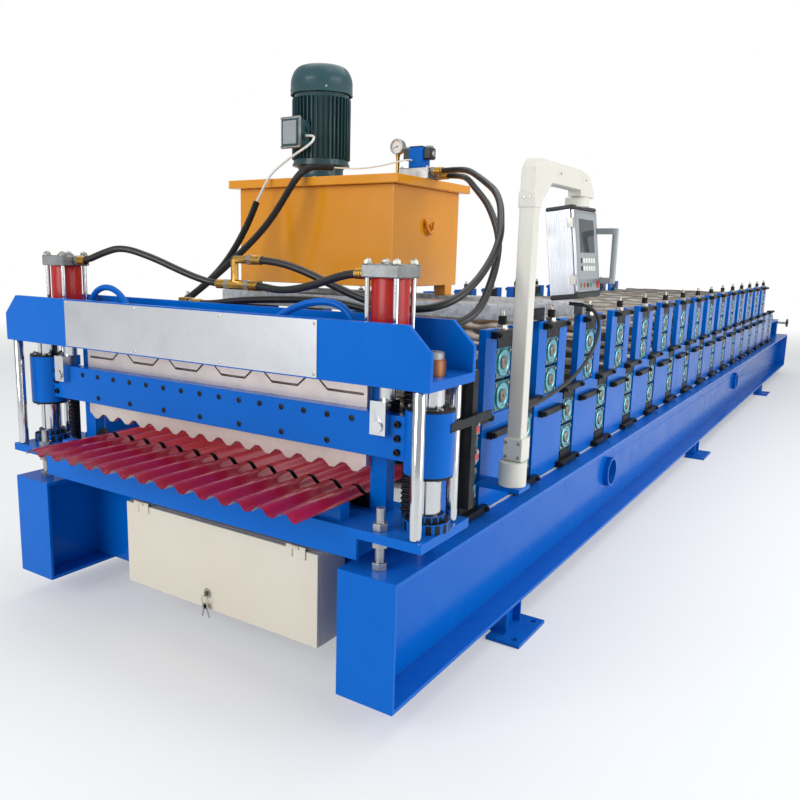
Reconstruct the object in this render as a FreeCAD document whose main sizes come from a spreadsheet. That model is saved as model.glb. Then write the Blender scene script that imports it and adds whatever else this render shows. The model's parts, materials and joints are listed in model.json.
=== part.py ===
"""Double-layer roll forming machine with a hydraulic cut-off shear, in millimetres.

The machine stands on its feet at Z = 0 and runs along +Y, from the shear at the exit end
to the entry guide. X = 0 is its centre plane. The origin is on the floor, in the middle of
the four anchor holes of the front feet. The sizes and formulas below count Y from the front
of the base beams instead, and put() shifts them to the origin.
Two H-section base beams carry a row of slotted wall plates on each side. The gaps between
the plates hold the bearings of the lower, corrugated layer, and the slots in the plates
hold those of the upper, trapezoidal layer. The shear's moving beam slides on two guide
columns between a table and a crossbeam, under two hydraulic cylinders.
"""
import FreeCAD, Part
import math
import os
import re
import sys

import Sketcher

doc = FreeCAD.newDocument("roll_forming_machine")

# Driving dimensions: name, value in millimetres, degrees or pieces, and what it is
SIZES = [
    ("blade_half_width", 582, "centre plane to the end of a blade or die"),
    ("wall_offset", 130, "end of the blades to a wall plate's outer face"),
    ("beam_lap", 73, "wall plate's outer face to the outer edge of a base beam"),
    ("entry_bay", 930, "last wall plate to the rear end of the base beams"),
    ("beam_width", 175, "base beam, flange width"),
    ("beam_height", 350, "base beam, height"),
    ("beam_web", 8, "base beam, web thickness"),
    ("beam_flange", 12, "base beam, flange thickness"),
    ("end_plate", 10, "closing plate on a beam's end"),
    ("foot_height", 84, "floor to the underside of the base beams"),
    ("foot_length", 221, "foot plate, along the machine"),
    ("foot_width", 116, "foot plate, across the machine"),
    ("foot_plate", 12, "foot plate, thickness"),
    ("anchor_hole", 22, "foot plate's anchor hole"),
    ("foot_lap", 8, "base beam's outer edge to the middle of a foot plate"),
    ("stub_length", 120, "foot's stub, along the machine"),
    ("stub_plate", 8, "foot's stub, plate thickness"),
    ("anchor_lap", 35, "base beam's outer edge to the anchor holes"),
    ("anchor_spacing", 160, "anchor hole to anchor hole along the machine"),
    ("foot_first", 769, "front to the first foot"),
    ("foot_last", 1827, "last foot to the rear end"),
    ("foot_count", 3, "feet on a side"),
    ("member_first", 250, "front to the first cross member's web"),
    ("member_last", 76, "last cross member's web to the rear end"),
    ("member_count", 6, "cross members"),
    ("member_web", 10, "cross member, web thickness"),
    ("member_flange", 65, "cross member, flange width"),
    ("pipe_first", 2019, "front to the first lifting pipe"),
    ("pipe_last", 2961, "second lifting pipe to the rear end"),
    ("pipe_height", 256, "floor to the lifting pipes' axis"),
    ("pipe_diameter", 135, "lifting pipe, outside"),
    ("pipe_wall", 10, "lifting pipe, wall"),
    ("pipe_stand", 24, "lifting pipe, how far it stands out of the web"),
    ("wall_thickness", 25, "wall plate, thickness"),
    ("wall_top", 1008, "floor to the top of the upper wall plates"),
    ("low_wall_top", 742, "floor to the top of the plates with no upper layer"),
    ("plate_width", 282, "wall plate, along the machine"),
    ("end_wall_width", 140, "first and last wall plate, along the machine"),
    ("station_pitch", 424, "forming station to forming station"),
    ("lower_start", 530, "front to the lower layer's first station"),
    ("lower_count", 17, "stations of the lower layer"),
    ("upper_start", 747, "front to the upper layer's first station"),
    ("upper_count", 15, "stations of the upper layer"),
    ("lower_pass", 593, "floor to the lower layer's pass line"),
    ("upper_pass", 843, "floor to the upper layer's pass line"),
    ("shaft_spacing", 106, "lower roll's axis to upper roll's axis in one station"),
    ("block_width", 122, "bearing block, along the machine"),
    ("block_height", 98, "bearing block, height"),
    ("block_depth", 42, "bearing block, across the machine"),
    ("block_recess", 4, "bearing block's outer face behind the wall plate's"),
    ("slot_width", 124, "slot in a wall plate for the upper layer's blocks"),
    ("roll_diameter", 98, "forming roll"),
    ("clamp_length", 212, "clamp bar across a slot or a gap"),
    ("clamp_height", 22, "clamp bar, height"),
    ("packing_inset", 6, "bearing block's side to the side of its packing"),
    ("packing_height", 56, "packing on a station's top block"),
    ("lower_clamp_drop", 51, "lower layer's blocks to the underside of the bar below them"),
    ("upper_clamp_drop", 73, "upper layer's blocks to the underside of the bar below them"),
    ("clamp_depth", 20, "clamp bar, thickness"),
    ("screw_size", 24, "adjusting screw, across flats"),
    ("screw_stand", 42, "adjusting screw, above its clamp bar"),
    ("table_lap", 50, "base beam's outer edge to the shear table's edge"),
    ("table_front", 30, "front to the shear table's front edge"),
    ("table_rear", 284, "front to the shear table's rear edge"),
    ("table_top", 538, "floor to the shear table's top"),
    ("table_plate", 25, "shear table, plate thickness"),
    ("skirt_inset", 188, "shear table's edge to the end of its skirt"),
    ("skirt_bottom", 455, "floor to the underside of the table's skirt"),
    ("skirt_plate", 12, "table's skirt, thickness"),
    ("stud_inset", 32, "shear table's edge to a levelling stud"),
    ("stud_size", 24, "levelling stud"),
    ("stud_gap", 2, "levelling stud to its hole, on the diameter"),
    ("stud_top", 598, "floor to the top of a levelling stud"),
    ("nut_size", 37, "levelling nut, across flats"),
    ("nut_height", 20, "levelling nut, height"),
    ("column_inset", 53, "shear table's edge to a guide column's axis"),
    ("column_y", 149, "front to a guide column's axis"),
    ("column_diameter", 70, "guide column"),
    ("column_head", 58, "guide column, above the crossbeam's seat"),
    ("column_flange", 120, "guide column's base flange, diameter"),
    ("column_flange_height", 26, "guide column's base flange, height"),
    ("column_hub", 90, "hub of a guide column's base flange, diameter"),
    ("column_hub_height", 42, "hub of a guide column's base flange, height"),
    ("rod_inset", 29, "shear table's edge to a corner rod's axis"),
    ("rod_front", 50, "front to a front corner rod's axis"),
    ("rod_rear", 236, "front to a rear corner rod's axis"),
    ("rod_diameter", 32, "corner rod"),
    ("cross_lap", 7, "shear table's edge to the crossbeam's end"),
    ("cross_front", 31, "front to the crossbeam's front face"),
    ("cross_rear", 271, "front to the crossbeam's rear face"),
    ("cross_bottom", 908, "floor to the crossbeam's underside"),
    ("cross_top", 1063, "floor to the crossbeam's top"),
    ("cross_plate", 16, "crossbeam's front and rear plates, thickness"),
    ("cross_chamfer", 63, "crossbeam's upper corners, chamfer"),
    ("seat_reach", 60, "cylinder's axis to the inner end of its seat plate"),
    ("seat_plate", 25, "crossbeam's seat plate, thickness"),
    ("cylinder_inset", 126, "guide column's axis to a cylinder's axis"),
    ("cylinder_y", 149, "front to a cylinder's axis"),
    ("barrel_diameter", 98, "cylinder barrel, outside"),
    ("head_size", 110, "cylinder head, square"),
    ("head_height", 34, "cylinder head, height"),
    ("cylinder_top", 1200, "floor to the top of a cylinder's cap"),
    ("tie_rod", 14, "cylinder's tie rod"),
    ("tie_inset", 13, "cylinder head's edge to a tie rod's axis"),
    ("barrel_end", 12, "closed end of a cylinder's bore"),
    ("piston_rod", 45, "piston rod"),
    ("piston_depth", 100, "piston rod's end below a cylinder's cap"),
    ("running_gap", 0.5, "clearance round a sliding rod or column"),
    ("beam_front", 125, "front to the moving beam's front face"),
    ("beam_plate", 40, "moving beam, thickness"),
    ("moving_bottom", 706, "floor to the moving beam's underside"),
    ("moving_top", 823, "floor to the moving beam's top"),
    ("sleeve_diameter", 127, "guide sleeve, outside"),
    ("sleeve_bottom", 684, "floor to a guide sleeve's underside"),
    ("sleeve_top", 846, "floor to a guide sleeve's top"),
    ("blade_plate", 16, "blades and dies, thickness"),
    ("shear_gap", 5, "moving blade to fixed die, along the machine"),
    ("lower_blade_top", 748, "floor to the top of the lower blade"),
    ("lower_blade_crest", 660, "floor to the crests of the lower blade's edge"),
    ("upper_blade_bottom", 764, "floor to the underside of the upper blade"),
    ("upper_blade_top", 965, "floor to the top of the upper blade"),
    ("upper_slot_flat", 855, "floor to the flats of the slot in the upper blade"),
    ("upper_slot_gap", 6, "height of the slot in the upper blade"),
    ("upper_die_bottom", 763, "floor to the underside of the upper die"),
    ("upper_die_top", 905, "floor to the top of the upper die"),
    ("blade_end", 12, "blade's end to the end of its slot"),
    ("rib_count", 5, "trapezoidal panel, ribs"),
    ("rib_margin", 84.5, "outermost rib's share of the panel to the end of a blade"),
    ("rib_height", 28, "trapezoidal panel, rib height"),
    ("rib_top", 40, "trapezoidal panel, width over a rib"),
    ("rib_base", 104, "trapezoidal panel, width of a rib's foot"),
    ("wave_margin", 36, "half of what the blades are wider than the corrugated panel"),
    ("wave_depth", 18, "corrugated panel, depth"),
    ("wave_count", 14, "corrugated panel, waves"),
    ("wave_crest_flat", 16, "corrugated panel, width of a crest as it is drawn"),
    ("panel_centre", 34, "centre plane to the cut panel's middle"),
    ("panel_front", -133, "front to the cut panel's front edge"),
    ("panel_plate", 1, "cut panel, thickness"),
    ("strip_rear", 466, "front to the rear end of the strip behind the shear"),
    ("panel_lap", 8, "moving blade to the end of the cut panel"),
    ("rest_inset", 20, "shear table's front edge to the bar under the panel"),
    ("rest_depth", 40, "bar under the cut panel, along the machine"),
    ("lug_width", 47, "piston rod's lug, across the machine"),
    ("lug_front", 101, "front to the lug's front face"),
    ("lug_bottom", 770, "floor to the lug's underside"),
    ("lug_top", 858, "floor to the lug's top"),
    ("pin_height", 792, "floor to the lug's pin"),
    ("pin_diameter", 31, "lug's pin"),
    ("pin_stand", 6, "lug's pin, how far it stands out"),
    ("rack_inset", 94, "guide column's axis to a rack's inner side"),
    ("rack_width", 24, "rack, across the machine"),
    ("rack_front", 172, "front to the tips of a rack's teeth"),
    ("rack_depth", 30, "rack, along the machine"),
    ("rack_tooth", 14, "rack, tooth to tooth"),
    ("rack_tooth_depth", 7, "rack, tooth height"),
    ("rack_teeth", 24, "teeth on a rack"),
    ("post_width", 54, "die post, across the machine"),
    ("post_depth", 40, "die post, along the machine"),
    ("rail_inset", 6, "crossbeam's end to the switch rail's outer side"),
    ("rail_width", 46, "switch rail, across the machine"),
    ("rail_front", 276, "front to the switch rail's front face"),
    ("rail_depth", 30, "switch rail, along the machine"),
    ("rail_bottom", 560, "floor to the switch rail's lower end"),
    ("flag_height", 24, "switch flag, height"),
    ("flag_plate", 6, "switch flag, thickness"),
    ("flag_front", 139, "front to the switch flag's front end"),
    ("flag_seat", 4, "switch flag, depth of its seat in the sleeve"),
    ("flag_rear", 372, "front to the switch flag's rear end"),
    ("flag_bottom", 796, "floor to the switch flag's underside"),
    ("switch_size", 44, "limit switch, square"),
    ("switch_drop", 76, "upper limit switch to the lower one"),
    ("cabinet_left", -309, "centre plane to the electric cabinet's left side"),
    ("cabinet_right", 481, "centre plane to the electric cabinet's right side"),
    ("cabinet_bottom", 133, "floor to the electric cabinet's underside"),
    ("cabinet_top", 410, "floor to the electric cabinet's top"),
    ("cabinet_rear", 218, "front to the electric cabinet's back"),
    ("cabinet_wall", 4, "electric cabinet, wall"),
    ("door_front", 88, "front to the cabinet door's front face"),
    ("door_depth", 18, "cabinet door, thickness over its folded edge"),
    ("door_gap", 0.5, "cabinet door to cabinet"),
    ("hanger_width", 60, "cabinet's hanger, across the machine"),
    ("hanger_height", 80, "cabinet's hanger, height"),
    ("hanger_inset", 80, "cabinet's side to its hanger"),
    ("hanger_drop", 40, "cabinet's top to its hanger"),
    ("hinge_width", 70, "door's hinge, across the machine"),
    ("hinge_inset", 40, "cabinet's side to the door's hinge"),
    ("hinge_pin", 12, "door's hinge pin"),
    ("hinge_stand", 2, "door's front face to the axis of its hinges"),
    ("hinge_plate", 5, "door's hinge, leaf thickness"),
    ("hinge_seat", 24, "door's hinge, seat of its leaf on the cabinet"),
    ("tank_left", -605, "centre plane to the oil tank's left side"),
    ("tank_right", 150, "centre plane to the oil tank's right side"),
    ("tank_front", 965, "front to the oil tank's front face"),
    ("tank_rear", 1485, "front to the oil tank's back"),
    ("tank_bottom", 1104, "floor to the oil tank's bottom"),
    ("tank_top", 1481, "floor to the underside of the tank's lid"),
    ("tank_wall", 6, "oil tank, wall"),
    ("leg_width", 50, "oil tank's leg, across the machine"),
    ("leg_depth", 60, "oil tank's leg, along the machine"),
    ("leg_inset", 25, "tank channel's edge to a leg"),
    ("lid_lap", 34, "tank lid, how far it stands out"),
    ("lid_height", 33, "tank lid, height of its rim"),
    ("channel_height", 55, "tank channel, height"),
    ("channel_width", 120, "tank channel, along the machine"),
    ("channel_front", 962, "front to the first tank channel"),
    ("channel_rear", 1366, "front to the second tank channel"),
    ("channel_web", 7, "tank channel, thickness"),
    ("motor_x", -372, "centre plane to the pump motor's axis"),
    ("motor_y", 1214, "front to the pump motor's axis"),
    ("bell_diameter", 250, "pump bell, flange diameter"),
    ("bell_flange", 14, "pump bell, flange thickness"),
    ("bell_neck", 200, "pump bell, neck diameter"),
    ("bell_height", 80, "pump bell, height"),
    ("motor_diameter", 246, "pump motor, over its fins"),
    ("motor_height", 276, "pump motor, finned body"),
    ("fin_count", 24, "fins round the pump motor"),
    ("fin_width", 7, "pump motor's fins, thickness"),
    ("fin_depth", 14, "pump motor's fins, height"),
    ("cowl_diameter", 262, "fan cowl"),
    ("cowl_ring", 52, "fan cowl, height of its straight side"),
    ("cowl_dome", 62, "fan cowl, height of its tapered top"),
    ("cowl_top", 166, "fan cowl, diameter of its flat top"),
    ("box_width", 102, "motor's terminal box, across the machine"),
    ("box_height", 124, "motor's terminal box, height"),
    ("box_depth", 75, "motor's terminal box, how far it stands out"),
    ("box_rise", 46, "pump bell to the terminal box"),
    ("box_shift", 12, "motor's axis to the middle of its terminal box"),
    ("manifold_x", 117, "centre plane to the valve manifold's middle"),
    ("manifold_y", 1200, "front to the valve manifold's middle"),
    ("manifold_length", 134, "valve manifold, across the machine"),
    ("manifold_width", 90, "valve manifold, along the machine"),
    ("manifold_height", 42, "valve manifold, height"),
    ("valve_width", 60, "directional valve, across the machine"),
    ("valve_depth", 68, "directional valve, along the machine"),
    ("coil_drop", 30, "directional valve's top to the axis of its solenoids"),
    ("valve_height", 84, "directional valve, height"),
    ("gauge_x", 19, "centre plane to the pressure gauge"),
    ("gauge_height", 130, "tank lid to the pressure gauge's middle"),
    ("gauge_diameter", 60, "pressure gauge"),
    ("gauge_depth", 28, "pressure gauge, depth"),
    ("gauge_pipe", 16, "pressure gauge's pipe"),
    ("solenoid", 44, "directional valve's solenoid, diameter"),
    ("arm_reach", 100, "wall plate's outer face to the console arm's axis"),
    ("arm_y", 622, "front to the console arm's axis"),
    ("arm_base_bottom", 545, "floor to the underside of the arm's base"),
    ("arm_base_height", 74, "arm's base, height"),
    ("arm_base_diameter", 84, "arm's base"),
    ("arm_bracket_plate", 14, "bracket under the arm's base, thickness"),
    ("arm_offset", 18, "arm's axis to the middle of its column"),
    ("arm_clamp", 62, "clamp at the arm's foot, square"),
    ("arm_clamp_height", 70, "clamp at the arm's foot, height"),
    ("arm_top", 1502, "floor to the top of the arm"),
    ("arm_width", 46, "arm's column, square"),
    ("corner_size", 132, "casting at a corner of the arm"),
    ("boom_height", 62, "arm's boom, height"),
    ("corner_drop", 18, "rear casting below the boom"),
    ("corner_round", 30, "chamfer of the front casting's outer corner"),
    ("corner_slope", 60, "chamfer of the rear casting, along and down"),
    ("corner_step", 10, "chamfer of the rear casting, where it begins below the top"),
    ("boom_end", 1139, "front to the rear end of the boom"),
    ("hang_y", 1072, "front to the console's swivel axis"),
    ("coupling_offset", 12, "arm's axis to the console's swivel axis, across the machine"),
    ("coupling_diameter", 78, "console's swivel coupling"),
    ("coupling_height", 30, "console's swivel coupling, height"),
    ("console_offset", 46, "arm's axis to the middle of the console's top"),
    ("console_y", 1000, "front to the console's front side"),
    ("console_depth", 96, "console, behind its screen"),
    ("console_width", 240, "console, along the machine"),
    ("console_height", 305, "console, height"),
    ("console_tilt", 7, "console, lean back of its front in degrees"),
    ("handle_diameter", 20, "console's handle"),
    ("handle_height", 190, "console's handle, height"),
    ("handle_reach", 48, "console to its handle"),
    ("handle_lap", 30, "handle's arms on the console's side"),
    ("handle_arm", 20, "handle's arm, height"),
    ("handle_depth", 26, "handle's arm, along the machine"),
    ("handle_shift", 18, "console's side to the handle's axis"),
    ("entry_length", 820, "entry guide, along the machine"),
    ("entry_margin", 20, "entry guide to the rear end"),
    ("entry_height", 600, "floor to the entry guide's top"),
    ("entry_plate", 12, "entry guide, plate thickness"),
    ("entry_inset", 32, "wall plate's outer face to the entry guide's side"),
    ("entry_leg", 60, "entry guide's leg, square"),
    ("entry_leg_inset", 40, "entry guide's end to its leg"),
    ("guide_roller", 46, "entry guide's roller, diameter"),
    ("roller_height", 60, "entry guide's roller, height"),
    ("roller_inset", 60, "entry guide's side to its rollers"),
    ("roller_first", 120, "entry guide's front edge to its first roller"),
    ("roller_pitch", 240, "entry guide's roller to roller"),
    ("wheel_diameter", 90, "star handwheel"),
    ("spindle", 24, "entry guide's spindle"),
    ("spindle_drop", 20, "entry guide's plate to the axis of its spindle"),
    ("spindle_inset", 70, "entry guide's rear edge to its spindle"),
    ("wheel_depth", 22, "star handwheel, thickness"),
    ("wheel_lap", 2, "base beam's outer edge to the face of the handwheel"),
    ("hose", 22, "hydraulic hose, outside"),
    ("conduit", 28, "cable conduit, outside"),
    ("motor_lead", 10, "motor's cable, outside"),
    ("valve_lead", 6, "valve's cable, outside"),
    ("console_lead", 12, "console's cable, outside"),
    ("pipe_small", 20, "pipe to a cylinder's foot, outside"),
    ("tee_length", 66, "hose tee, across the machine"),
    ("tee_diameter", 28, "hose tee, outside"),
    ("union_size", 34, "hose union on the crossbeam, square"),
]

# Places and sizes that follow from the driving ones
DERIVED = {
    "wall_outer": "blade_half_width + wall_offset",
    "base_half_width": "wall_outer + beam_lap",
    "table_half_width": "base_half_width + table_lap",
    "skirt_half_width": "table_half_width - skirt_inset",
    "column_x": "table_half_width - column_inset",
    "rod_x": "table_half_width - rod_inset",
    "cross_half_width": "table_half_width + cross_lap",
    "cylinder_x": "column_x - cylinder_inset",
    "seat_inner": "cylinder_x - seat_reach",
    "rack_inner": "column_x - rack_inset",
    "post_outer": "blade_half_width + post_width",
    "rail_inner": "cross_half_width - rail_inset - rail_width",
    "anchor_x": "base_half_width + anchor_lap",
    "arm_x": "wall_outer + arm_reach",
    "console_x": "arm_x - console_offset",
    "entry_half_width": "wall_outer - entry_inset",
    "wave_pitch": "2 * (blade_half_width - wave_margin) / wave_count",
    "rib_pitch": "2 * (blade_half_width - rib_margin) / rib_count",
    "last_wall": "upper_start + (upper_count + 1) * station_pitch - plate_width / 2",
    "machine_length": "last_wall + end_wall_width + entry_bay",
    "foot_pitch": "(machine_length - foot_first - foot_last) / (foot_count - 1)",
    "member_pitch": "(machine_length - member_first - member_last) / (member_count - 1)",
    "pipe_second": "machine_length - pipe_last",
    "entry_rear": "machine_length - entry_margin",
    "entry_front": "entry_rear - entry_length",
}

sizes = doc.addObject("Spreadsheet::Sheet", "sizes")
for row, (alias, value, meaning) in enumerate(SIZES, start=1):
    sizes.set(f"A{row}", meaning)
    sizes.set(f"B{row}", str(value))
    sizes.setAlias(f"B{row}", alias)
doc.recompute()

ALIASES = {alias for alias, _, _ in SIZES}
WORD = re.compile(r"[a-z_]+")


def size(alias):
    """Value of one driving dimension, read from the sheet."""
    return float(sizes.get(alias))


def formula(text):
    """The text of an expression, with each name of a size pointed at the sheet."""
    def spell(word):
        if word[0] in DERIVED:
            return "(" + formula(DERIVED[word[0]]) + ")"
        return "sizes." + word[0] if word[0] in ALIASES else word[0]
    return WORD.sub(spell, str(text))


def bind(obj, **properties):
    """Bind properties of a document object to formulas of the driving dimensions."""
    for name, text in properties.items():
        obj.setExpression(name.replace("__", "."), formula(text))
    return obj


def put(obj, x="0", y="0", z="0"):
    """Place an object by formulas: Y counts from the front of the base beams."""
    return bind(obj, Placement__Base__x=x, Placement__Base__y=f"({y}) - foot_first", Placement__Base__z=z)


def box(label, x, y, z):
    """Box between the two formulas that each of x, y and z gives."""
    obj = doc.addObject("Part::Box", label)
    bind(obj, Length=f"({x[1]}) - ({x[0]})", Width=f"({y[1]}) - ({y[0]})", Height=f"({z[1]}) - ({z[0]})")
    return put(obj, x[0], y[0], z[0])


def turned(obj, along, start, centre):
    """Stand a shape made along +Z along an axis, from a start, about a centre in the other two."""
    if along == "x":
        obj.Placement.Rotation = FreeCAD.Rotation(FreeCAD.Vector(0, 1, 0), 90)
        return put(obj, start, centre[0], centre[1])
    if along == "y":
        obj.Placement.Rotation = FreeCAD.Rotation(FreeCAD.Vector(1, 0, 0), -90)
        return put(obj, centre[0], start, centre[1])
    return put(obj, centre[0], centre[1], start)


def rod(label, along, span, centre, diameter):
    """Cylinder along one axis between two formulas, about a centre in the other two."""
    obj = doc.addObject("Part::Cylinder", label)
    bind(obj, Radius=f"({diameter}) / 2", Height=f"({span[1]}) - ({span[0]})")
    return turned(obj, along, span[0], centre)


def prism(label, along, span, centre, flats, sides=6):
    """Prism with an even number of sides along one axis, sized across its flats."""
    obj = doc.addObject("Part::Prism", label)
    bind(obj, Polygon=sides, Circumradius=f"({flats}) / 2 / cos(180 / ({sides}))",
         Height=f"({span[1]}) - ({span[0]})")
    return turned(obj, along, span[0], centre)


def fuse(label, *shapes):
    """Shapes that are one piece."""
    obj = doc.addObject("Part::MultiFuse", label)
    obj.Shapes = list(shapes)
    return obj


def cut(label, base, *tools):
    """A base less its tools."""
    tool = tools[0] if len(tools) == 1 else fuse(label + "_tools", *tools)
    obj = doc.addObject("Part::Cut", label)
    obj.Base, obj.Tool = base, tool
    return obj


def group(label, *shapes):
    """Like pieces that share a node and don't touch."""
    obj = doc.addObject("Part::Compound", label)
    obj.Links = list(shapes)
    return obj


def origin_feature(body, role):
    """One of a body's own origin planes or axes."""
    return next(feature for feature in body.Origin.OriginFeatures if feature.Role == role)


def outline(sketch, points):
    """Closed outline of straight lines, each corner held by two formulas."""
    count, first, held = len(points), sketch.GeometryCount, sketch.ConstraintCount
    starts = [FreeCAD.Vector(index, index * index, 0) for index in range(count)]
    sketch.addGeometry([Part.LineSegment(start, after)
                        for start, after in zip(starts, starts[1:] + starts[:1])])
    joins = [Sketcher.Constraint("Coincident", first + index, 2, first + (index + 1) % count, 1)
             for index in range(count)]
    places = [Sketcher.Constraint(kind, -1, 1, first + index, 1, 1.0)
              for index in range(count) for kind in ("DistanceX", "DistanceY")]
    sketch.addConstraint(joins + places)
    texts = [text for point in points for text in point]
    for index, text in enumerate(texts, start=held + count):
        sketch.setExpression(f"Constraints[{index}]", formula(text))


def body_of(label, plane, outlines, thickness, x="0", y="0", z="0", count=None, pitch=None, along="Y"):
    """Body padded from outlines: XZ goes towards +Y, YZ towards +X and XY towards +Z.

    With a count and a pitch the pad is repeated along an axis.
    """
    body = doc.addObject("PartDesign::Body", label)
    sketch = body.newObject("Sketcher::SketchObject", label + "_outline")
    sketch.AttachmentSupport = [(origin_feature(body, plane + "_Plane"), "")]
    sketch.MapMode = "FlatFace"
    for points in outlines:
        outline(sketch, points)
    pad = body.newObject("PartDesign::Pad", label + "_pad")
    pad.Profile = sketch
    pad.Reversed = plane == "XZ"
    bind(pad, Length=thickness)
    if count:
        pattern = body.newObject("PartDesign::LinearPattern", label + "_pattern")
        pattern.Originals = [pad]
        pattern.Direction = (origin_feature(body, along + "_Axis"), [""])
        bind(pattern, Occurrences=count, Length=f"(({count}) - 1) * ({pitch})")
        body.Tip = pattern
    return put(body, x, y, z)


def side_name(side):
    """Name of a side seen from the shear end: -1 is left and 1 is right."""
    return "left" if side < 0 else "right"


def side_span(side, inner, outer):
    """Lowest and highest X of a piece between two distances from the centre plane."""
    return (f"-({outer})", f"-({inner})") if side < 0 else (inner, outer)


def rectangle(across, up):
    """Corners of a rectangle between two pairs of formulas."""
    return [(across[0], up[0]), (across[1], up[0]), (across[1], up[1]), (across[0], up[1])]


SIDES = (-1, 1)
ROLL_SIDES = 12
ROUND_SIDES = 16
HOSE_SIDES = 8
BEAM_TOP = "(foot_height + beam_height)"
BEAM_CENTRE = "(base_half_width - beam_width / 2)"
BLADE_FRONT = "(beam_front + beam_plate)"
DIE_FRONT = "(beam_front + beam_plate + blade_plate + shear_gap)"
DIE_REAR = f"({DIE_FRONT} + blade_plate)"
CHANNEL_TOP = "(wall_top + channel_height)"
STUD_PLACES = {"front": "(table_front + stud_inset)", "rear": "(table_rear - stud_inset)"}
PANEL_CREST = "(lower_pass + wave_depth / 2)"
nodes = []


# Base frame

def base_beam(side):
    """H-section base beam with its end plates and its lifting pipes."""
    name = side_name(side) + "_base_beam"
    half, web, flange = "beam_width / 2", "beam_web / 2", "beam_flange"
    top, bottom = BEAM_TOP, "foot_height"
    section = body_of(name + "_section", "XZ", [[
        (f"-{half}", bottom), (half, bottom), (half, f"{bottom} + {flange}"),
        (web, f"{bottom} + {flange}"), (web, f"{top} - {flange}"), (half, f"{top} - {flange}"),
        (half, top), (f"-{half}", top), (f"-{half}", f"{top} - {flange}"),
        (f"-{web}", f"{top} - {flange}"), (f"-{web}", f"{bottom} + {flange}"),
        (f"-{half}", f"{bottom} + {flange}")]],
        "machine_length - 2 * end_plate", x=f"{side} * {BEAM_CENTRE}", y="end_plate")
    spans = side_span(side, "base_half_width - beam_width", "base_half_width")
    plates = [box(name + "_front_plate", spans, ("0", "end_plate"), (bottom, top)),
              box(name + "_rear_plate", spans, ("machine_length - end_plate", "machine_length"),
                  (bottom, top))]
    pipes, bores = [], []
    for place in ("pipe_first", "pipe_second"):
        span = (f"{side} * {BEAM_CENTRE} - beam_web / 2 - pipe_stand",
                f"{side} * {BEAM_CENTRE} + beam_web / 2 + pipe_stand")
        centre = (place, "pipe_height")
        pipes.append(rod(f"{name}_{place}", "x", span, centre, "pipe_diameter"))
        bores.append(rod(f"{name}_{place}_bore", "x", span, centre, "pipe_diameter - 2 * pipe_wall"))
    solid = fuse(name + "_solid", section, *plates, *pipes)
    nodes.append(cut(name, solid, *bores))


def cross_members():
    """Welded channels between the webs of the base beams."""
    inner = f"({BEAM_CENTRE} - beam_web / 2)"
    low, high = "(foot_height + beam_flange)", f"({BEAM_TOP} - beam_flange)"
    nodes.append(body_of("cross_members", "YZ", [[
        ("0", low), ("member_flange", low), ("member_flange", f"{low} + member_web"),
        ("member_web", f"{low} + member_web"), ("member_web", f"{high} - member_web"),
        ("member_flange", f"{high} - member_web"), ("member_flange", high), ("0", high)]],
        f"2 * {inner}", x=f"-{inner}", y="member_first", count="member_count", pitch="member_pitch"))


def support_feet():
    """Plate and short web under the outer flange, three to a side."""
    feet, holes = [], []
    for side in SIDES:
        middle = "base_half_width + foot_lap"
        span = side_span(side, f"{middle} - foot_width / 2", f"{middle} + foot_width / 2")
        edge = side_span(side, "base_half_width - foot_width / 2", "base_half_width")
        web = (f"({edge[0]} + {edge[1]}) / 2 - stub_plate / 2",
               f"({edge[0]} + {edge[1]}) / 2 + stub_plate / 2")
        end, inner = "stub_length / 2", "(stub_length / 2 - stub_plate)"
        plate = body_of(f"{side_name(side)}_foot_plates", "XY",
                        [rectangle(span, ("-foot_length / 2", "foot_length / 2"))], "foot_plate",
                        y="foot_first", count="foot_count", pitch="foot_pitch")
        stub = body_of(f"{side_name(side)}_foot_stubs", "XY", [[
            (edge[0], f"-{end}"), (edge[1], f"-{end}"), (edge[1], f"-{inner}"), (web[1], f"-{inner}"),
            (web[1], inner), (edge[1], inner), (edge[1], end), (edge[0], end),
            (edge[0], inner), (web[0], inner), (web[0], f"-{inner}"), (edge[0], f"-{inner}")]],
            "foot_height - foot_plate", y="foot_first", z="foot_plate", count="foot_count",
            pitch="foot_pitch")
        feet += [plate, stub]
        for index in range(int(size("foot_count"))):
            for place, sign in (("front", "-"), ("rear", "+")):
                centre = (f"{side} * anchor_x",
                          f"foot_first + {index} * foot_pitch {sign} anchor_spacing / 2")
                holes.append(rod(f"{side_name(side)}_{place}_anchor_hole_{index + 1}", "z",
                                 ("-1", "foot_plate + 1"), centre, "anchor_hole"))
    nodes.append(cut("support_feet", fuse("feet_blank", *feet), *holes))


# Forming stations

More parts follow.
